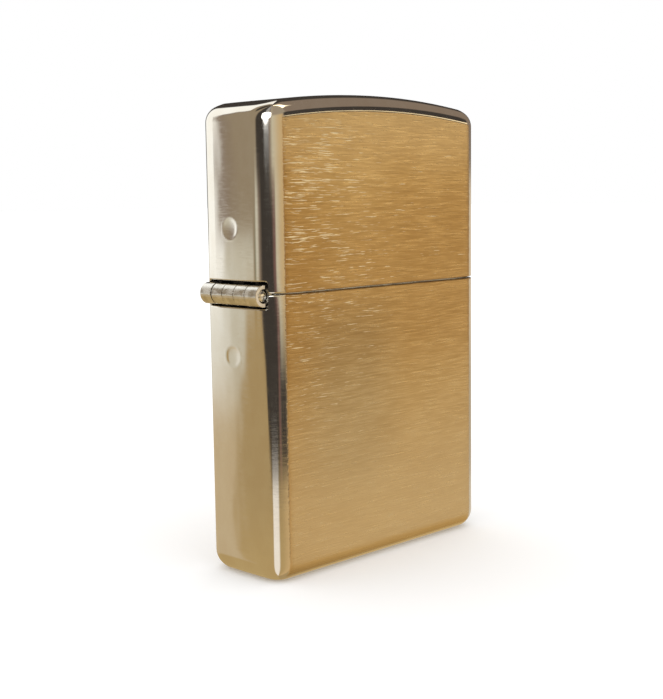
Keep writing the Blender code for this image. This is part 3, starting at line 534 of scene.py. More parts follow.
SOOTED = sooted_steel()
WHEEL_STEEL = wheel_steel()
FLINT = flint_stone()
COTTON = fibrous("cotton_yarn", (0.62, 0.55, 0.43), (0.86, 0.82, 0.72), (7, 7, 1.6), 0.4, 0.05, SINGED)
RAYON = fibrous("rayon_fibre", (0.7, 0.69, 0.65), (0.93, 0.92, 0.89), (2.2, 2.2, 2.2), 0.6, 0.09)
FELT = fibrous("grey_felt", (0.5, 0.48, 0.43), (0.72, 0.7, 0.64), (4, 4, 4), 0.5, 0.06)

# ---- building


def link(name, bm, *materials):
    """A mesh object from closed faces, turned to face out."""
    bmesh.ops.recalc_face_normals(bm, faces=bm.faces)
    mesh = bpy.data.meshes.new(name)
    bm.to_mesh(mesh)
    bm.free()
    for material in materials:
        mesh.materials.append(material)
    obj = bpy.data.objects.new(name, mesh)
    bpy.context.scene.collection.objects.link(obj)
    return obj


def settle(obj):
    """Replaces the mesh by what its modifiers make of it."""
    graph = bpy.context.evaluated_depsgraph_get()
    mesh = bpy.data.meshes.new_from_object(obj.evaluated_get(graph))
    obj.modifiers.clear()
    before, obj.data = obj.data, mesh
    bpy.data.meshes.remove(before)
    return obj


def cut(obj, bm, operation="DIFFERENCE"):
    cutter = link("cutter", bm)
    modifier = obj.modifiers.new("cut", "BOOLEAN")
    modifier.operation = operation
    modifier.object = cutter
    settle(obj)
    bpy.data.objects.remove(cutter)
    return obj


def soften(obj, width, angle=35):
    modifier = obj.modifiers.new("edges", "BEVEL")
    modifier.width = width
    modifier.segments = 2
    modifier.limit_method = "ANGLE"
    modifier.angle_limit = radians(angle)
    return settle(obj)


def finished(obj, body, slot, *nodes, sharp=35, flats=False):
    """Shades a piece, and says what it rides on and stands for; slot, its finish, is not used.

    flats keeps its large flat faces flat to the light, beside rounded edges.
    """
    obj.data.shade_smooth()
    obj.data.set_sharp_from_angle(angle=radians(sharp))
    if flats:
        obj.modifiers.new("flats", "WEIGHTED_NORMAL").keep_sharp = True
        settle(obj)
    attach(obj, body)
    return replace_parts(obj, *nodes)


def arc(centre, radius, from_deg, to_deg, steps):
    turns = [radians(from_deg + (to_deg - from_deg) * i / steps) for i in range(steps + 1)]
    return [(centre[0] + radius * cos(a), centre[1] + radius * sin(a)) for a in turns]


def add_box(bm, low, high):
    size = Matrix.Diagonal((*(Vector(high) - Vector(low)), 1))
    bmesh.ops.create_cube(bm, size=1, matrix=Matrix.Translation((Vector(low) + Vector(high)) / 2) @ size)


def boxes(*corners):
    bm = bmesh.new()
    for low, high in corners:
        add_box(bm, low, high)
    return bm


def bridge(bm, rings):
    """Quads from each closed ring of vertices to the next."""
    for low, high in zip(rings, rings[1:]):
        for i in range(len(low)):
            j = (i + 1) % len(low)
            bm.faces.new((low[i], low[j], high[j], high[i]))


def directions(path):
    """The way that a path runs at each of its points."""
    last = len(path) - 1
    return [(path[min(i + 1, last)] - path[max(i - 1, 0)]).normalized() for i in range(last + 1)]


def thickened(path, sheet):
    """The outline of a sheet of that thickness whose middle line is the path."""
    sides = []
    for offset in (-sheet / 2, sheet / 2):
        sides.append([at + offset * Vector((-way.y, way.x)) for at, way in zip(path, directions(path))])
    return sides[0] + sides[1][::-1]


def extrude_y(section, front, back):
    """A closed outline of x, z points, drawn out from front to back."""
    bm = bmesh.new()
    rings = [[bm.verts.new((x, y, z)) for x, z in section] for y in (front, back)]
    bridge(bm, rings)
    bm.faces.new(rings[0])
    bm.faces.new(rings[1])
    return bm


# ---- case shells


def corner_turns():
    """Angles round a case corner, closer together where the hinge notch ends."""
    even = [90 * i / ROUND_STEPS for i in range(ROUND_STEPS + 1)]
    notch = asin((NOTCH_HALF - HALF_Y + CORNER) / CORNER)
    near = [-0.35, -0.27, -0.17, -0.08, -0.03, 0.0, 0.02, 0.05, 0.1, 0.17]
    marks = [degrees(notch + s * MM / CORNER) for s in near]
    return sorted(marks + [a for a in even if min(abs(a - m) for m in marks) > 1.5])


CORNER_TURNS = corner_turns()


def plan(half_x, half_y, corner):
    """A rounded rectangle from the middle of the hinge side, round by the front and back again."""
    span_x, span_y = half_x - corner - SIDE_CROWN, half_y - corner
    quarter = []
    for i in range(SIDE_STEPS):
        share = i / SIDE_STEPS
        quarter.append((-half_x + SIDE_CROWN * share**2, -span_y * share))
    for turn in CORNER_TURNS:
        a = radians(turn)
        quarter.append((-span_x - corner * cos(a), -span_y - corner * sin(a)))
    half = FRONT_STEPS // 2
    front = [(-span_x + 2 * span_x * i / FRONT_STEPS, -half_y) for i in range(1, half)]
    left = quarter + front
    path = left + [(0.0, -half_y)] + [(-x, y) for x, y in reversed(left)]
    return path + [(x, -y) for x, y in reversed(path[1:-1])]


def flat(height):
    """A surface at one height."""
    return lambda x, y: height


class Loft:
    """Closed rings in the case's plan, each inset from its outer face and at a height, from end to end."""

    def __init__(self, centre_x, half_x, half_y, corner):
        self.centre_x, self.half_x, self.half_y, self.corner = centre_x, half_x, half_y, corner
        self.outer = plan(half_x, half_y, corner)
        self.rings = []

    def ring(self, inset, height):
        """height is a number, or a function of a point's x and y on the outer face."""
        corner = max(self.corner - inset, 0.05 * MM)
        path = plan(self.half_x - inset, self.half_y - inset, corner)
        level = height if callable(height) else flat(height)
        self.rings.append([(x, y, level(*at)) for (x, y), at in zip(path, self.outer)])

    def edge(self, inset, radius, level, side, inward, steps=8):
        """Rings round an edge. side is +1 above the wall and -1 below; inward runs from wall to flat."""
        for i in range(steps + 1):
            turn = pi / 2 * (i / steps if inward else 1 - i / steps)
            drop = radius * (1 - sin(turn))
            self.ring(inset + radius * (1 - cos(turn)), lambda x, y: level(x, y) - side * drop)

    def close(self, first, level, steps=3):
        """Rings that shrink to the middle line, before the first ring or after the last."""
        source = self.rings[0] if first else self.rings[-1]
        reach = self.half_x - self.half_y
        made = []
        for i in range(1, steps + 1):
            share = i / steps
            ring = []
            for x, y, _ in source:
                line = max(-reach, min(reach, x))
                at = (x + (line - x) * share, y * (1 - share))
                ring.append((*at, level(*at)))
            made.append(ring)
        self.rings = made[::-1] + self.rings if first else self.rings + made

    def mesh(self, lining=None):
        """lining is how many of the first bands of faces are inside the shell, with the second material."""
        bm = bmesh.new()
        rings = [[bm.verts.new((self.centre_x + x, y, z)) for x, y, z in ring] for ring in self.rings]
        bridge(bm, rings)
        if lining is not None:
            count = len(rings[0])
            for i, face in enumerate(bm.faces):
                face.material_index = int(i // count < lining)
        bmesh.ops.remove_doubles(bm, verts=bm.verts, dist=MM * 1e-3)
        return bm


def dome(x):
    """Height of the lid's arched top above its height at the case's ends."""
    return sqrt(ARCH**2 - x**2) - ARCH


def notched(rim, notch):
    """The rim's height: level, but for the notch that the barrel lies in, which ends in round corners."""
    up = 1 if notch > rim else -1
    start = NOTCH_HALF - HALF_Y + CORNER

    def height(x, y):
        if x > 0:
            return rim
        round_corner = asin(min(1, max(0, abs(y) - HALF_Y + CORNER) / CORNER))
        past = CORNER * round_corner - CORNER * asin(start / CORNER)
        if past > 0.15 * MM:
            return rim
        if past > 0.01 * MM:
            return rim + up * 0.12 * MM * (1 - past / (0.15 * MM)) ** 2
        into = max(0.0, past + NOTCH_FILLET)
        return notch - up * (NOTCH_FILLET - sqrt(max(0, NOTCH_FILLET**2 - into**2)))

    return height


def heights(low, high, weld):
    """Heights for rings up a wall, closer together over the spot weld."""
    near = WELD_RADIUS + 0.3 * MM
    found = []
    at = low
    while at < high - FINE_STEP:
        found.append(at)
        welded = abs(at - weld) < near or abs(at + WALL_STEP - weld) < near
        at += FINE_STEP if welded else WALL_STEP
    return found


def press_weld(obj, weld):
    """The shallow dish that a spot weld leaves in the wall outside."""
    for vertex in obj.data.vertices:
        at = vertex.co
        away = hypot(at.y - WELD_BACK, at.z - weld)
        if at.x > LID_LOW.x + 2 * SIDE_CROWN or away > 1.2 * WELD_RADIUS:
            continue
        bowl = WELD_DEPTH * max(0, 1 - (away / WELD_RADIUS) ** 2)
        lip = WELD_LIP * cos(min(1, abs(away / WELD_RADIUS - 0.93) / 0.12) * pi / 2)
        at.x += bowl - lip
    return obj


def case_rings(rim, first_level, wall_levels, radius, flat_level, up):
    """A cup's rings from inside its closed end, down the inside, over the rim and up the outside."""
    guard = lambda x, y: rim(x, y) + up * (RIM_ROUND + RIM_GUARD)
    loft = Loft(CASE_X, HALF_X, HALF_Y, CORNER)
    inner = lambda x, y: flat_level(x, y) - up * WALL
    loft.edge(WALL, radius - WALL, inner, up, False, 5)
    loft.close(True, inner)
    loft.ring(WALL, first_level)
    loft.ring(WALL, guard)
    for i in range(4):
        turn = pi / 2 * i / 3
        inset = WALL - RIM_ROUND * (1 - cos(turn))
        loft.ring(inset, lambda x, y: rim(x, y) + up * RIM_ROUND * (1 - sin(turn)))
    inside = len(loft.rings) - 2
    for i in range(4):
        turn = pi / 2 * i / 3
        inset = RIM_ROUND * (1 - sin(turn))
        loft.ring(inset, lambda x, y: rim(x, y) + up * RIM_ROUND * (1 - cos(turn)))
    loft.ring(0, guard)
    for level in wall_levels:
        loft.ring(0, level)
    loft.edge(0, radius, flat_level, up, True, 10)
    return loft, inside


def make_lid():
    level = lambda x, y: TOP_Z + dome(x)
    start = AXIS.z + NOTCH_ABOVE + 0.8 * MM
    walls = heights(start, TOP_Z - TOP_ROUND - DOME_RISE - MM, AXIS.z + WELD_ABOVE)
    rim = notched(LID_RIM, AXIS.z + NOTCH_ABOVE)
    loft, inside = case_rings(rim, start, walls, TOP_ROUND, level, 1)
    loft.close(False, level)
    obj = link("lid_shell", loft.mesh(inside), CASE_OUTSIDE, CASE_INSIDE)
    press_weld(obj, AXIS.z + WELD_ABOVE)
    return finished(obj, "lid", "brushed_brass", "lid_case")


def make_base():
    """The bottom shell, whose base has a shallow recess inside a narrow foot."""
    level = flat(0.0)
    start = AXIS.z - NOTCH_BELOW - 0.8 * MM
    walls = [BASE_ROUND + z for z in heights(MM, start - BASE_ROUND, AXIS.z - WELD_BELOW - BASE_ROUND)]
    rim = notched(BASE_RIM, AXIS.z - NOTCH_BELOW)
    loft, inside = case_rings(rim, start, [start] + walls[::-1], BASE_ROUND, level, -1)
    foot = BASE_ROUND + RECESS_MARGIN
    loft.ring(foot, 0.0)
    loft.ring(foot + RECESS_SLOPE / 2, RECESS_DEPTH * 0.55)
    loft.ring(foot + RECESS_SLOPE, RECESS_DEPTH)
    loft.close(False, flat(RECESS_DEPTH))
    obj = link("base_shell", loft.mesh(inside), CASE_OUTSIDE, CASE_INSIDE)
    press_weld(obj, AXIS.z - WELD_BELOW)
    return finished(obj, "case", "brushed_brass", "bottom_case")


# ---- hinge


def leaf_section(side):
    """A leaf's edge seen along the pin: a plate that runs into a roll, which ends a slit short of it."""
    inner = PLATE_OUT + LEAF_SHEET
    bore = BARREL - LEAF_SHEET
    start = degrees(acos(inner / BARREL))
    stop = degrees(acos(PLATE_OUT / BARREL)) + 9 - 360
    points = [(inner, LEAF_REACH)] + arc((0, 0), BARREL, start, stop, 44)
    points += arc((0, 0), bore, stop, degrees(acos(PLATE_OUT / bore)), 44) + [(PLATE_OUT, LEAF_REACH)]
    return [(AXIS.x + x, AXIS.z + side * z) for x, z in points]


def make_leaf(name, node, side, ours, body):
    half = BARREL_HIGH.y
    obj = link(name, extrude_y(leaf_section(side), -half, half), NICKEL)
    pitch = 2 * half / KNUCKLES
    reach = BARREL + MM
    slots = []
    for i in range(KNUCKLES):
        if i in ours:
            continue
        front, back = (-half + k * pitch for k in (i, i + 1))
        front -= MM if i == 0 else (LOOSE_GAP if i == KNUCKLES - 1 else KNUCKLE_GAP) / 2
        back += MM if i == KNUCKLES - 1 else (LOOSE_GAP if i == KNUCKLES - 2 else KNUCKLE_GAP) / 2
        low = (AXIS.x - reach, front, AXIS.z - PLATE_START)
        slots.append((low, (AXIS.x + reach, back, AXIS.z + PLATE_START)))
    cut(obj, boxes(*slots))
    ends = sorted((AXIS.z + side * (BARREL + 0.05 * MM), AXIS.z + side * (LEAF_REACH + MM)))
    trims = []
    for front, back in ((-2 * half, -LEAF_HALF), (LEAF_HALF, 2 * half)):
        trims.append(((AXIS.x - reach, front, ends[0]), (AXIS.x + reach, back, ends[1])))
    cut(obj, boxes(*trims))
    soften(obj, 0.04 * MM)
    return finished(obj, body, "nickel", node, sharp=20)


def turned(name, profile, at, *materials, axis="Z", steps=48):
    """A turned piece: (radius, height) points from one end to the other, closed on the axis or on itself."""
    bm = bmesh.new()
    rings = []
    turns = [tau * i / steps for i in range(steps)]
    for radius, height in profile:
        if radius < 1e-6 * MM:
            rings.append([bm.verts.new((0, 0, height))])
        else:
            rings.append([bm.verts.new((radius * cos(a), radius * sin(a), height)) for a in turns])
    if profile[0][0] > 1e-6 * MM:
        rings.append(rings[0])
    for low, high in zip(rings, rings[1:]):
        for i in range(steps):
            j = (i + 1) % steps
            corners = [low[i % len(low)], low[j % len(low)], high[j % len(high)], high[i % len(high)]]
            bm.faces.new(list(dict.fromkeys(corners)))
    if axis == "Y":
        bmesh.ops.rotate(bm, verts=bm.verts, matrix=Matrix.Rotation(pi / 2, 3, "X"))
    bmesh.ops.translate(bm, verts=bm.verts, vec=at)
    return link(name, bm, *materials)


def make_pin():
    radius, half = radius_of("hinge_pin"), BARREL_HIGH.y - PIN_SUNK
    crown = []
    for turn in range(0, 91, 10):
        a = radians(turn)
        crown.append((radius * sin(a), half - radius * PIN_CROWN * (1 - cos(a))))
    crown[-1] = (radius, half - radius * PIN_CROWN)
    profile = crown + [(r, -y) for r, y in reversed(crown)]
    obj = turned("hinge_pin_peened", profile, AXIS, NICKEL, axis="Y")
    return finished(obj, "case", "nickel", "hinge_pin")


# ---- insert and chimney


def add_rod(bm, radius, start, end, steps=40):
    start, end = Vector(start), Vector(end)
    way = end - start
    turn = way.to_track_quat("Z", "Y").to_matrix().to_4x4()
    at = Matrix.Translation((start + end) / 2) @ turn
    sizes = {"radius1": radius, "radius2": radius, "depth": way.length}
    bmesh.ops.create_cone(bm, cap_ends=True, segments=steps, matrix=at, **sizes)


def upright(radius, x, low, high):
    """A rod through the case's middle plane, from a low height to a high one."""
    return radius, (x, 0, low), (x, 0, high)


def crossing(radius, at, reach):
    """A rod from the front to the back through a point."""
    return radius, (at.x, -reach, at.z), (at.x, reach, at.z)


def rods(*specs):
    bm = bmesh.new()
    for spec in specs:
        add_rod(bm, *spec)
    return bm


def make_insert():
    """The fuel chamber: a drawn sleeve, open below with a turned-in lip, pierced above for the works."""
    loft = Loft(middle("insert_case").x, radius_of("insert_case"), INSERT_HIGH.y, INSERT_CORNER)
    level, inner = flat(INSERT_HIGH.z), flat(INSERT_HIGH.z - INSERT_SHEET)
    loft.edge(INSERT_SHEET, INSERT_ROUND - INSERT_SHEET, inner, 1, False, 4)
    loft.close(True, inner)
    loft.ring(INSERT_SHEET, INSERT_LOW.z + MM)
    loft.edge(0.12 * MM, 0.28 * MM, flat(INSERT_LOW.z), -1, True, 4)
    lip = loft.rings[-5:]
    loft.rings = loft.rings[:-5] + lip[::-1]
    loft.ring(0.0, INSERT_LOW.z + 0.3 * MM)
    for share in (0.2, 0.4, 0.6, 0.8):
        loft.ring(0.0, INSERT_LOW.z + (INSERT_HIGH.z - INSERT_LOW.z) * share)
    loft.edge(0, INSERT_ROUND, level, 1, True, 8)
    loft.close(False, level)
    obj = link("insert_sleeve", loft.mesh(), STEEL)
    below, above = INSERT_HIGH.z - 2 * MM, INSERT_HIGH.z + MM
    spring_x = middle("cam_spring_rivet").x
    holes = ((TUBE + FIT, WHEEL.x), (WICK + 2 * FIT, WICK_X), (SPRING_RIVET + FIT, spring_x))
    cut(obj, rods(*[upright(radius, x, below, above) for radius, x in holes]))
    return finished(obj, "case", "steel", "insert_case", flats=True)


def chimney_walls():
    """The folded sheet seen from above, front side and back again, drawn up and given its thickness."""
    sheet = CHIMNEY_SHEET
    ear, wall = EAR_HALF - sheet / 2, CHIMNEY_HIGH.y - sheet / 2
    right = CHIMNEY_HIGH.x - sheet / 2
    step = []
    for i in range(13):
        share = i / 12
        rise = (wall - ear) * (1 - cos(pi * share)) / 2
        step.append((CASE_X + STEP_START + (STEP_END - STEP_START) * share, -(ear + rise)))
    corner = arc((right - CHIMNEY_CORNER, -wall + CHIMNEY_CORNER), CHIMNEY_CORNER, 270, 360, 14)
    front = [(CHIMNEY_LOW.x - MM, -ear)] + step + corner
    path = [Vector((x, y)) for x, y in front + [(x, -y) for x, y in reversed(front)]]
    outline = thickened(path, sheet)
    bm = bmesh.new()
    rings = [[bm.verts.new((x, y, z)) for x, y in outline] for z in (CHIMNEY_LOW.z, CHIMNEY_HIGH.z + MM)]
    bridge(bm, rings)
    for ring in rings:
        count = len(ring)
        for i in range(count // 2 - 1):
            bm.faces.new((ring[i], ring[i + 1], ring[count - 2 - i], ring[count - 1 - i]))
    return bm


def chimney_side():
    """The sheet's outline from the front: the cam's ear, the wheel's ear, then the windscreen."""
    base, right = CHIMNEY_LOW.z - MM, CHIMNEY_HIGH.x + MM
    left = CASE_X + SCREEN_LEFT
    points = [(CHIMNEY_LOW.x, base)]
    points += arc((CAM.x, CAM.z), CAM_EAR, 180, 65, 20)
    points += arc((WHEEL.x, WHEEL.z), WHEEL_EAR, 190, 65, 24)
    points += [(CASE_X + STEP_START, WHEEL.z + STEP_RISE), (left, WHEEL.z + SHOULDER_RISE)]
    points += arc((left + MM, CHIMNEY_HIGH.z - MM), MM, 180, 90, 8)
    points += [(right, CHIMNEY_HIGH.z), (right, base)]
    return extrude_y(points, -2 * CHIMNEY_HIGH.y, 2 * CHIMNEY_HIGH.y)


def make_chimney():
    obj = link("windscreen", chimney_walls(), SOOTED)
    cut(obj, chimney_side(), "INTERSECT")
    reach = 2 * CHIMNEY_HIGH.y
    drills = []
    for row, count in enumerate(HOLE_COUNTS):
        z = HOLES_Z + HOLE_PITCH_Z * (row - 1)
        for i in range(count):
            x = CASE_X + HOLES_X + HOLE_PITCH_X * (i - (count - 1) / 2)
            drills.append(crossing(HOLE_RADIUS, Vector((x, 0, z)), reach))
    drills.append(crossing(WHEEL_PIN + FIT, WHEEL, reach))
    drills.append(crossing(CAM_PIN + FIT, CAM, reach))
    cut(obj, rods(*drills))
    soften(obj, 0.05 * MM, angle=50)
    return finished(obj, "case", "steel", "chimney", sharp=40, flats=True)


# ---- wheel, cam and springs


def make_wheel():
    """A file-hard wheel, its rim cut with crossed slanting teeth, between plain hubs."""
    low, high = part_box("striker_wheel")
    radius, half = radius_of("striker_wheel"), (high.y - low.y) / 2
    around = WHEEL_TEETH * TOOTH_STEPS
    bm = bmesh.new()
    rings = []

    def ring(y, reach):
        turns = [tau * i / around for i in range(around)]
        rings.append([bm.verts.new((reach(a) * cos(a), y, reach(a) * sin(a))) for a in turns])

    hub = ((HUB_SUNK, WHEEL_PIN + FIT), (HUB_SUNK, HUB))
    hub += ((0, HUB + HUB_SUNK), (0, radius - TOOTH_DEPTH - RIM_BEVEL))
    for sunk, out in hub:
        ring(-half + sunk, lambda a: out)
    for i in range(RIM_STEPS + 1):
        y = -half + RIM_BEVEL + (2 * half - 2 * RIM_BEVEL) * i / RIM_STEPS
        end = min(1.0, min(i, RIM_STEPS - i) / 2 + 0.5)

        def reach(a):
            lead = TOOTH_SLANT * y / half
            cuts = [abs((a / tau * WHEEL_TEETH + s * lead) % 1 - 0.5) * 2 for s in (1, -1)]
            groove = max(max(0.0, 1 - GROOVE_NARROW * c) for c in cuts)
            return radius - TOOTH_DEPTH * groove - RIM_BEVEL * (1 - end)

        ring(y, reach)
    for sunk, out in reversed(hub):
        ring(half - sunk, lambda a: out)
    bridge(bm, rings + rings[:1])
    bmesh.ops.translate(bm, verts=bm.verts, vec=WHEEL)
    obj = link("wheel_knurled", bm, WHEEL_STEEL)
    return finished(obj, "wheel", "hardened_steel", "striker_wheel", sharp=25)


def rivet_profile(radius, head, grip, rise):
    """Down from one domed head, which is dished where it was struck, to the other."""
    crown = [(head * out, grip + rise * up) for out, up in HEAD_DISH]
    for turn in (60, 45, 30, 15, 0):
        a = radians(turn)
        crown.append((head * cos(a), grip + HEAD_EDGE + (rise - HEAD_EDGE) * sin(a)))
    return crown + [(head - HEAD_UNDERCUT, grip), (radius, grip)]


def make_rivet(name, node, radius):
    crown = rivet_profile(radius, radius_of(node), EAR_HALF + FIT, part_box(node)[1].y - EAR_HALF - FIT)
    profile = crown + [(r, -y) for r, y in reversed(crown)]
    obj = turned(name, profile, middle(node), RIVET_STEEL, axis="Y")
    return finished(obj, "case", "steel", node, sharp=40)


def cam_outline():
    """Seen from the front, about the pivot: a hub, a lever towards the hinge, and two flats."""

    def point(reach, turn):
        return (reach * cos(radians(turn)), reach * sin(radians(turn)))

    lever, opened = 180 - CAM_RISE, 270 - CAM_SWING
    spread = degrees(acos(CAM_FLAT / CAM_CROWN))
    points = arc((0, 0), CAM_CROWN, opened + spread, 270 - spread, 14)
    points.append((CAM_HEEL, -CAM_FLAT))
    points += arc((0, 0), CAM_HUB, -10, 60, 14)
    points += arc(point(CAM_REACH, lever), CAM_NOSE, lever - 90, lever + 90, 16)
    flat, end = point(CAM_FLAT, opened), point(CAM_HEEL, opened - 90)
    points.append((flat[0] + end[0], flat[1] + end[1]))
    return [(CAM.x + x, CAM.z + z) for x, z in points]


def make_cam():
    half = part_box("cam")[1].y
    obj = link("cam_lever", extrude_y(cam_outline(), -half, half), CAM_STEEL)
    cut(obj, rods(crossing(CAM_PIN + FIT, CAM, 2 * half)))
    soften(obj, 0.08 * MM, angle=45)
    return finished(obj, "cam", "steel", "cam", sharp=40, flats=True)


def spring_line(foot, blade):
    """The cam spring's middle line: along its foot, up a curved rise, and back along its drooping blade."""
    low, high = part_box("cam_spring")
    left = CASE_X + SPRING_FOOT_LEFT
    line = [(high.x, foot)]
    for i in range(13):
        share = i / 12
        line.append((left - SPRING_LEAN * share, foot + (blade - foot) * (1 - cos(pi * share)) / 2))
    bend = CAM.x - BLADE_BEND
    line.append((bend, blade))
    for i in range(1, 7):
        share = i / 6
        line.append((bend + (low.x + BLADE_SHORT - bend) * share, blade - BLADE_DROOP * share**1.4))
    return [Vector(p) for p in line]


def make_cam_spring():
    """A steel strip, riveted to the insert, that presses up on the cam's flats."""
    low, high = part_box("cam_spring")
    foot = low.z + SPRING_STRIP / 2
    blade = CAM.z - CAM_FLAT - 2 * FIT - SPRING_STRIP / 2
    outline = thickened(spring_line(foot, blade), SPRING_STRIP)
    obj = link("cam_leaf_spring", extrude_y(outline, low.y, high.y), BLUED)
    x = middle("cam_spring_rivet").x
    cut(obj, rods(upright(SPRING_RIVET + FIT, x, foot - MM, foot + MM)))
    soften(obj, 0.04 * MM, angle=45)
    return finished(obj, "case", "spring_steel", "cam_spring", sharp=40, flats=True)


def make_spring_rivet():
    """The rivet through the cam spring's foot and the top of the insert."""
    low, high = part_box("cam_spring_rivet")
    head = radius_of("cam_spring_rivet")
    edge = 0.08 * MM
    deck = INSERT_HIGH.z - INSERT_SHEET - FIT
    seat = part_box("cam_spring")[0].z + SPRING_STRIP + FIT
    profile = [(0, high.z)]
    for turn in (15, 30, 45, 60, 75, 88):
        a = radians(turn)
        profile.append((head * sin(a), seat + (high.z - seat) * cos(a)))
    profile += [(SPRING_RIVET, seat), (SPRING_RIVET, deck), (head, deck)]
    profile += [(head, low.z + edge), (head - edge, low.z), (0, low.z)]
    obj = turned("leaf_spring_rivet", profile, (middle("cam_spring_rivet").x, 0, 0), RIVET_STEEL)
    return finished(obj, "case", "steel", "cam_spring_rivet", sharp=40)


# ---- flint train


def make_flint_tube():
    low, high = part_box("flint_tube")
    lip = TUBE_LIP
    tube = [(BORE + lip, high.z), (TUBE - lip, high.z), (TUBE, high.z - lip), (TUBE, low.z + lip)]
    tube += [(TUBE - lip, low.z), (BORE + lip, low.z), (BORE, low.z + lip), (BORE, high.z - lip)]
    obj = turned("flint_tube_drawn", tube, FLINT_LINE, TURNED)
    return finished(obj, "case", "turned_brass", "flint_tube", sharp=30)


def make_flint():
    """A pressed rod of sparking alloy, rounded at its ends and finely pitted."""
    low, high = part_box("flint")
    radius = radius_of("flint")
    worn, foot = FLINT_TOP_EDGE, FLINT_FOOT_EDGE
    stone = [(0, high.z)] + [(radius * k, high.z) for k in (0.3, 0.6, 0.8)]
    stone += arc((radius - worn, high.z - worn), worn, 90, 0, 5)
    stone += [(radius, high.z + (low.z - high.z) * k) for k in (0.2, 0.4, 0.6, 0.8)]
    stone += arc((radius - foot, low.z + foot), foot, 0, -90, 3) + [(0, low.z)]
    obj = turned("flint_stone", stone, FLINT_LINE, FLINT)
    for vertex in obj.data.vertices:
        away = vertex.co - Vector((WHEEL.x, 0, vertex.co.z))
        grain = noise.noise(vertex.co / FLINT_GRAIN) - 0.6
        vertex.co += away * FLINT_PITS * grain
    return finished(obj, "flint", "flint", "flint", sharp=60)


def make_follower():
    """The brass plunger on top of the flint's spring: a head under the flint and a stem into the coil."""
    low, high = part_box("flint_follower")
    radius = radius_of("flint")
    edge = FOLLOWER_EDGE
    shoulder = high.z - FOLLOWER_HEAD
    follower = [(0, high.z), (radius - edge, high.z), (radius, high.z - edge), (radius, shoulder + edge)]
    follower += [(radius - edge, shoulder), (STEM, shoulder), (STEM, low.z + edge)]
    follower += [(STEM - edge, low.z), (0, low.z)]
    obj = turned("follower_turned", follower, FLINT_LINE, TURNED)
    return finished(obj, "flint", "turned_brass", "flint_follower", sharp=30)


def tube_along(bm, path, radius, sides=12):
    """A closed round tube along a path, thinner or thicker as radius(share) says."""
    rings = []
    turns = [tau * k / sides for k in range(sides)]
    across = Vector((0, 1, 0))
    for i, (at, way) in enumerate(zip(path, directions(path))):
        across = (across - across.dot(way) * way).normalized()
        other = way.cross(across)
        size = radius(i / (len(path) - 1)) if callable(radius) else radius
        rings.append([bm.verts.new(at + size * (cos(a) * across + sin(a) * other)) for a in turns])
    bridge(bm, rings)
    bm.faces.new(rings[0])
    bm.faces.new(rings[-1])


def make_flint_spring():
    """A coil whose end turns lie close together."""
    low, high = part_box("flint_spring")
    wire = COIL_WIRE
    radius = radius_of("flint_spring") - wire
    bottom, top = low.z + wire, high.z - wire
    rise = CLOSED_PITCH * wire
    count = COIL_TURNS * COIL_STEPS
    path = []
    for i in range(count + 1):
        share = i / count
        turns = share * COIL_TURNS
        closed = rise * min(turns, COIL_TURNS - turns, 1.0)
        reach = (turns - 1) / (COIL_TURNS - 2)
        height = bottom + closed if turns < 1 else top - closed
        if 1 <= turns <= COIL_TURNS - 1:
            height = bottom + rise + (top - bottom - 2 * rise) * reach
        path.append(Vector((WHEEL.x + radius * cos(tau * turns), radius * sin(tau * turns), height)))
    bm = bmesh.new()
    tube_along(bm, path, wire)
    obj = link("flint_spring_coil", bm, BLUED)
    finished(obj, "case", "spring_steel", "flint_spring", sharp=60)
    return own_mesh(obj)


def make_flint_screw():
    """A slotted brass screw with a milled edge to its head."""
    low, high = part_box("flint_screw")
    head = radius_of("flint_screw")
    shank = BORE - FIT
    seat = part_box("flint_tube")[0].z - FIT
    stem_foot = high.z - SCREW_NECK
    edge = SCREW_EDGE
    profile = [(0, high.z), (STEM - edge, high.z), (STEM, high.z - edge), (STEM, stem_foot)]
    profile += [(shank - edge, stem_foot), (shank, stem_foot - edge)]
    for i in range(int((stem_foot - seat - 3 * edge) / THREAD_PITCH)):
        top = stem_foot - 2 * edge - i * THREAD_PITCH
        profile += [(shank, top), (shank - THREAD_DEPTH, top - THREAD_PITCH / 2)]
    profile += [(shank, seat + edge), (shank, seat), (head - edge, seat), (head, seat - edge)]
    profile += [(head, low.z + edge), (head - edge, low.z), (0, low.z)]
    obj = turned("flint_screw_slotted", profile, FLINT_LINE, TURNED, steps=SCREW_STEPS)
    for vertex in obj.data.vertices:
        away = Vector((vertex.co.x - WHEEL.x, vertex.co.y, 0))
        step = round(SCREW_STEPS * atan2(away.y, away.x) / tau)
        if away.length > head - 0.02 * MM and step % 4 < 2:
            vertex.co -= away * MILLING
    half = SCREW_SLOT / 2
    reach = head + MM
    cut(obj, boxes(((WHEEL.x - reach, -half, low.z - MM), (WHEEL.x + reach, half, low.z + SLOT_DEPTH))))
    return finished(obj, "screw", "turned_brass", "flint_screw", sharp=30)


# ---- wick, packing and felt


def wick_line(z):
    """The wick rises straight from the packing, and winds from side to side within it."""
    if z > PACKING_TOP:
        return Vector((WICK_X, 0, z))
    share = (PACKING_TOP - z) / (PACKING_TOP - WICK_FOOT)
    return Vector((WICK_X + WICK_SWAY * sin(tau * WICK_WAVES * share), 0, z))


def strand(phase, ring, bottom, top, pitch, steps):
    """The middle line of one yarn of the wick, which winds round the wick's own line."""
    path = []
    for i in range(steps + 1):
        z = bottom + (top - bottom) * i / steps
        way = (wick_line(z + 0.1 * MM) - wick_line(z - 0.1 * MM)).normalized()
        across = Vector((0, 1, 0))
        other = way.cross(across)
        turn = phase + tau * (z - bottom) / pitch
        path.append(wick_line(z) + ring * (cos(turn) * across + sin(turn) * other))
    return path


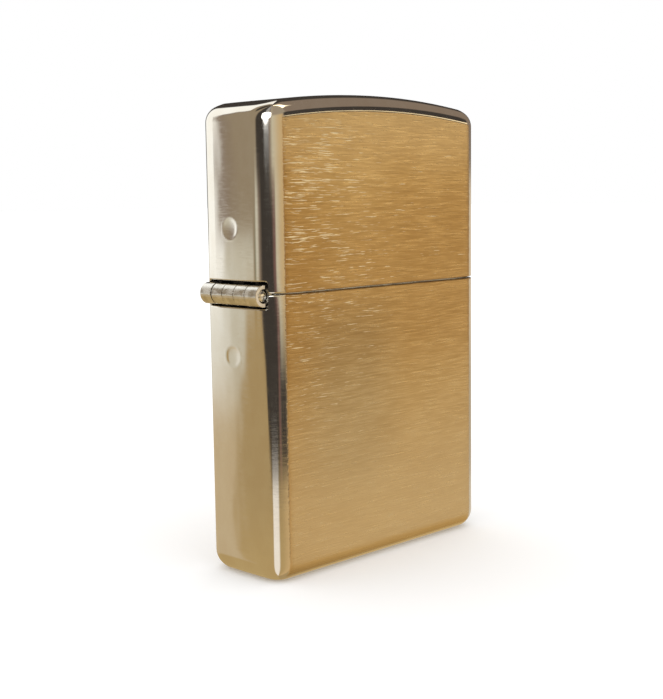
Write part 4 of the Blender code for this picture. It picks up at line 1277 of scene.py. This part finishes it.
def add_yarns(bm, bottom, top, ring):
    """Cotton yarns that taper where they were cut, all but the last wound round the middle one."""

    def tapered(share):
        return YARN * min(1.0, 0.45 + 14 * (1 - share), 0.5 + 30 * share)

    for i, short in enumerate(YARN_SHORT):
        end = top - (0.35 + short * 0.8) * MM
        path = strand(tau * i / YARNS, 0 if i == YARNS else ring, bottom, end, YARN_LAY, 110)
        tube_along(bm, path, tapered, sides=14)


def add_frayed(bm, top, ring):
    """Loose fibres that stand up from the cut end, kept inside the wick's own radius."""
    reach = WICK - 0.06 * MM
    for i in range(FRAYED):
        turn, out = 2.4 * i, ring * sqrt((i + 0.5) / FRAYED) * 1.25
        root = Vector((WICK_X + out * cos(turn), out * sin(turn), top - 1.6 * MM))
        lean = Vector((0.25 * sin(3.1 * i), 0.25 * cos(2.3 * i), 1.0))
        length = (0.9 + 0.65 * abs(sin(1.7 * i))) * MM
        tip = [root + lean * length * k / 4 + Vector((0.05 * MM * sin(k + i), 0, 0)) for k in range(5)]
        for at in tip:
            away = Vector((at.x - WICK_X, at.y))
            if away.length > reach:
                away *= reach / away.length
                at.x, at.y = WICK_X + away.x, away.y
        tube_along(bm, tip, lambda share: (0.045 - 0.025 * share) * MM, sides=5)


def make_wick():
    """Seven twisted cotton yarns with two fine copper wires, frayed where they were cut."""
    bottom, top = WICK_FOOT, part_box("wick")[1].z
    ring = WICK - YARN - 0.04 * MM
    bm = bmesh.new()
    add_yarns(bm, bottom, top, ring)
    add_frayed(bm, top, ring)
    cotton = len(bm.faces)
    for phase in (0.5, 0.5 + pi):
        path = strand(phase, WICK - WIRE - 0.01 * MM, bottom, top - 0.5 * MM, WIRE_LAY, 260)
        tube_along(bm, path, WIRE, sides=8)
    bm.faces.ensure_lookup_table()
    for face in bm.faces[cotton:]:
        face.material_index = 1
    obj = link("wick_yarns", bm, COTTON, COPPER)
    return finished(obj, "case", "cotton", "wick", sharp=60)


def tufted(name, low, high):
    """A wad of loose fibre: a rounded block whose faces are crumpled inwards."""
    bm = bmesh.new()
    bmesh.ops.create_cube(bm, size=2)
    bmesh.ops.subdivide_edges(bm, edges=bm.edges, cuts=WAD_STEPS, use_grid_fill=True)
    half = (Vector(high) - Vector(low)) / 2
    centre = (Vector(high) + Vector(low)) / 2
    for vertex in bm.verts:
        at = vertex.co
        share = sum(abs(c) ** WAD_SQUARE for c in at) ** (1 / WAD_SQUARE)
        at = Vector([c / share * h for c, h in zip(at, half)])
        place = centre + at
        big = 0.5 + 0.5 * noise.fractal(place / (3.2 * MM), 0.6, 2.1, 4)
        crease = abs(noise.noise(place / (1.7 * MM) + Vector((7, 3, 1))))
        inward = WAD_CRUMPLE * (0.75 * max(0, big) + 0.6 * (1 - min(1, 4 * crease))) / 1.35
        out = Vector([c / h for c, h in zip(at, half)]).normalized()
        vertex.co = place - Vector([min(inward, h * 0.5) * c for c, h in zip(out, half)])
    return link(name, bm, RAYON)


def make_packing():
    """Wads of rayon stacked round the flint tube and the winding wick."""
    for i in range(1, BALLS + 1):
        node = f"rayon_ball_{i}"
        low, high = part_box(node)
        obj = tufted(f"rayon_wad_{i}", low, high)
        cut(obj, rods(upright(TUBE + 2 * FIT, WHEEL.x, low.z - MM, high.z + MM)))
        channel = bmesh.new()
        path = [wick_line(WICK_FOOT - FIT + (PACKING_TOP + MM - WICK_FOOT) * k / 60) for k in range(61)]
        tube_along(channel, path, WICK + 3 * FIT, sides=28)
        cut(obj, channel)
        finished(obj, "case", "rayon", node, sharp=180)


def make_felt():
    """A cut felt pad, a little matted, with a punched hole for the screw's head."""
    low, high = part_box("felt_pad")
    corner = INSERT_CORNER - INSERT_SHEET
    loft = Loft(middle("felt_pad").x, radius_of("felt_pad"), high.y, corner)
    loft.edge(0, FELT_EDGE, flat(low.z), -1, False, 4)
    loft.close(True, flat(low.z), 8)
    for k in (0.35, 0.5, 0.65):
        loft.ring(0, low.z + (high.z - low.z) * k)
    loft.edge(0, FELT_EDGE, flat(high.z), 1, True, 4)
    loft.close(False, flat(high.z), 8)
    bm = loft.mesh()
    bm.normal_update()
    for vertex in bm.verts:
        rough = noise.fractal(vertex.co / (0.9 * MM), 0.8, 2.0, 3)
        vertex.co -= vertex.normal * MM * (0.05 + 0.05 * rough)
    obj = link("felt_cut", bm, FELT)
    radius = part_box("flint_screw")[1].x - WHEEL.x + 3 * FIT
    cut(obj, rods((*upright(radius, WHEEL.x, low.z - MM, high.z + MM), 48)))
    finished(obj, "case", "felt", "felt_pad", sharp=60)
    return obj


make_lid()
make_base()
make_leaf("leaf_upper_rolled", "hinge_leaf_upper", 1, (0, 2, 4), "lid")
make_leaf("leaf_lower_rolled", "hinge_leaf_lower", -1, (1, 3), "case")
make_pin()
make_insert()
make_chimney()
make_wheel()
make_rivet("wheel_rivet_domed", "wheel_rivet", WHEEL_PIN)
make_rivet("cam_rivet_domed", "cam_rivet", CAM_PIN)
make_cam()
make_cam_spring()
make_spring_rivet()
make_flint_tube()
make_flint()
make_follower()
make_flint_spring()
make_flint_screw()
make_wick()
make_packing()
make_felt()

# ---- camera, floor and light

CAMERA_AZIMUTH = radians(-45.28)
CAMERA_ELEVATION = radians(7.12)
CAMERA_ROLL = radians(-0.8125)
CAMERA_DISTANCE = 158.99 * MM
CAMERA_TARGET = Vector((CASE_X - 3.084 * MM, 0, 25.887 * MM))


def set_camera():
    azimuth, elevation, roll = CAMERA_AZIMUTH, CAMERA_ELEVATION, CAMERA_ROLL
    back = Vector((sin(azimuth) * cos(elevation), -cos(azimuth) * cos(elevation), sin(elevation)))
    right = Vector((0, 0, 1)).cross(back).normalized()
    up = back.cross(right)
    side = cos(roll) * right + sin(roll) * up
    rise = -sin(roll) * right + cos(roll) * up
    made = bpy.data.objects.new("camera", bpy.data.cameras.new("camera"))
    bpy.context.scene.collection.objects.link(made)
    turn = Matrix((side, rise, back)).transposed().to_4x4()
    made.matrix_world = Matrix.Translation(CAMERA_TARGET + back * CAMERA_DISTANCE) @ turn
    made.data.lens = 65.0
    made.data.sensor_width = 36
    made.data.clip_start = 0.01
    bpy.context.scene.camera = made


# The studio that polished metal mirrors, by bearing in degrees from the camera's side, + towards the front
PANEL = (1.1, 1.09, 1.05)
GREIGE = (0.32, 0.255, 0.175)
PALE = (0.62, 0.58, 0.48)
OLIVE = (0.24, 0.235, 0.16)
DUSK = (0.05, 0.042, 0.036)
ROSE = (0.18, 0.1, 0.085)
CREAM = (0.62, 0.56, 0.42)
STRAW = (0.6, 0.45, 0.26)
HONEY = (0.62, 0.43, 0.21)
AMBER = (0.68, 0.56, 0.42)
TABLE = (0.42, 0.3, 0.145)
DUN = (0.57, 0.445, 0.28)
FOOT = (0.49, 0.35, 0.16)
TAN = (0.6, 0.43, 0.2)
SAND = (0.66, 0.58, 0.475)
GLINT = (0.95, 0.88, 0.8)
SMOKE = (0.25, 0.19, 0.145)
TAUPE = (0.36, 0.3, 0.225)
SUNLIT = (1.25, 1.0, 0.62)
CEILING = (2.6, 2.25, 1.6)
LAMP = (3.0, 3.0, 3.0)


def room_walls(n, bearing, height):
    """Round the room: one wheel of colours below eye level and one above it."""
    lift = n.math("POWER", n.math("DIVIDE", n.math("MAXIMUM", height, 0.0), 31.0), 2.0)
    leaning = n.times(lift, n.span(bearing, -70, -92, 0.0, 13.0))
    swing = n.times(n.span(bearing, -12, 8, 0.0, -12.0), n.span(bearing, 66, 48))
    leaning = n.plus(leaning, n.times(swing, n.span(height, -4.0, -5.6)))
    turn = n.plus(n.math("DIVIDE", n.plus(bearing, leaning), 360), 0.5)

    def wheel(*stops):
        return n.ramp(turn, *[(b / 360 + 0.5, c) for b, c in stops])

    low = wheel(
        (-180, GREIGE), (-158, PALE), (-144, PANEL), (-95.7, PANEL), (-95.1, GREIGE), (-94.2, PALE),
        (-88, PALE), (-82, GREIGE), (-78, OLIVE), (-70, PALE), (-64, PALE), (-54, SMOKE), (-42, DUSK),
        (6, DUSK), (12, ROSE), (17, ROSE), (24, CREAM), (42, STRAW), (56, HONEY), (70, AMBER),
        (158, AMBER), (172, CREAM), (180, PALE),
    )
    high = wheel(
        (-180, DUSK), (-152, DUSK), (-142, PANEL), (-96.2, PANEL), (-95.6, SMOKE), (-94.6, SMOKE),
        (-93.8, GREIGE), (-66, GREIGE), (-57, DUSK), (-4, DUSK), (2, SMOKE), (14, CREAM), (40, STRAW),
        (56, HONEY), (74, SMOKE), (150, SMOKE), (158, DUSK), (180, DUSK),
    )
    rise = n.span(bearing, -70, -80, 0.0, 2.5)
    return n.mix(n.span(n.plus(height, rise), -0.5, 1.6), low, high)


def front_and_ceiling(n, room, bearing, height):
    """Before the lighter: a sunlit wall under a dark beam, a bright ceiling, and a dull corner beside."""
    corner = n.band(bearing, 6, 16, 72, 84)
    room = n.mix(n.times(corner, n.span(height, 14, 26)), room, TAUPE)
    facing = n.band(bearing, 62, 74, 106, 114)
    beam = n.band(height, 8.5, 10.5, 23.5, 27.0)
    sun = n.band(height, -3.0, 0.0, 8.5, 10.5)
    room = n.mix(n.times(facing, sun), room, SUNLIT)
    overhead = n.band(bearing, 74, 84, 106, 114)
    room = n.mix(n.times(overhead, n.span(height, 48, 52)), room, CEILING)
    return n.mix(n.times(facing, beam), room, DUSK)


def table_top(n, room, bearing, height):
    """The table that the lighter stands on, and the foot of the walls round it."""
    dim = n.times(n.span(height, -2.5, -7.0), n.span(bearing, -88, -94))
    room = n.mix(n.times(dim, 0.6), room, PALE)
    floor_edge = n.span(bearing, -58, -15, -4.6, -12.7)
    floor_edge = n.math("MINIMUM", floor_edge, n.span(bearing, -93.6, -91.2, -9.2, -3.5))
    shade = n.times(n.span(height, -4.8, -9.2), n.span(bearing, 24, 34))
    room = n.mix(n.times(shade, n.span(bearing, 66, 50, 0.3, 1.0)), room, DUSK)
    blur = n.span(bearing, -80, -86, 0.8, 2.2)
    below = n.span(n.math("DIVIDE", n.minus(height, floor_edge), blur), 1.0, -1.0)
    gleam = n.band(bearing, -18, -11, 8, 16)
    near = n.fade(height, -20.0, -30.0, SAND, n.fade(height, -36.0, -46.0, TAN, TABLE))
    pale = n.times(n.span(bearing, -93.2, -94.6), n.span(height, -25.0, -19.0))
    dun = n.mix(pale, n.fade(height, -12.5, -17.0, TABLE, FOOT), DUN)
    table = n.fade(bearing, 20, 60, dun, n.fade(bearing, 62, 80, HONEY, near))
    return n.mix(below, room, n.mix(gleam, table, GLINT))


def window(n, room, bearing, height):
    """A bright window high beside the camera, and its faint glow down to eye level."""
    lamp = n.math("POWER", n.math("DIVIDE", n.plus(bearing, 14.0), 23.0), 2.0)
    lamp = n.plus(lamp, n.math("POWER", n.math("DIVIDE", n.minus(height, 25.5), 19.5), 4.0))
    room = n.fade(lamp, 1.15, 0.75, room, LAMP)
    streak = n.span(n.gap(bearing, -12.0), 16.0, 6.0)
    return n.mix(n.times(streak, n.span(height, 0.6, 4.0, 0.0, 0.12)), room, LAMP)


def set_world():
    """White for the camera, soft white for matt surfaces, and a room of bright and dark sides for gloss."""
    world = bpy.data.worlds.new("studio")
    bpy.context.scene.world = world
    world.use_nodes = True
    n = Nodes(world.node_tree)
    way = n.add("TexCoord").outputs["Generated"]
    toward = (sin(CAMERA_AZIMUTH), -cos(CAMERA_AZIMUTH), 0)
    front = (cos(CAMERA_AZIMUTH), sin(CAMERA_AZIMUTH), 0)
    parts = [n.vector("DOT_PRODUCT", way, axis).outputs["Value"] for axis in (front, toward)]
    bearing = n.times(n.math("ARCTAN2", *parts), 180 / pi)
    height = n.times(n.math("ARCSINE", n.apart(way)[2]), 180 / pi)

    room = room_walls(n, bearing, height)
    for step in (front_and_ceiling, table_top, window):
        room = step(n, room, bearing, height)

    rays = n.add("LightPath")
    soft = n.mix(rays.outputs["Is Diffuse Ray"], (1, 1, 1), (1.2, 1.19, 1.18))
    shown = n.mix(rays.outputs["Is Glossy Ray"], soft, room)
    n.feed(world.node_tree.nodes["Background"].inputs[0], shown)


def set_floor():
    bpy.ops.mesh.primitive_plane_add(size=6)
    floor = bpy.context.object
    floor.name = "floor"
    s = Shader("pale_floor", Roughness=0.8)
    s.set(Base_Color=(0.92, 0.92, 0.92), Specular_IOR_Level=0.0)
    s.set(Emission_Color=(1, 1, 1), Emission_Strength=0.1)
    floor.data.materials.append(s.material)
    floor.visible_glossy = False


set_camera()
set_world()
set_floor()
bpy.context.scene.view_settings.view_transform = "Standard"
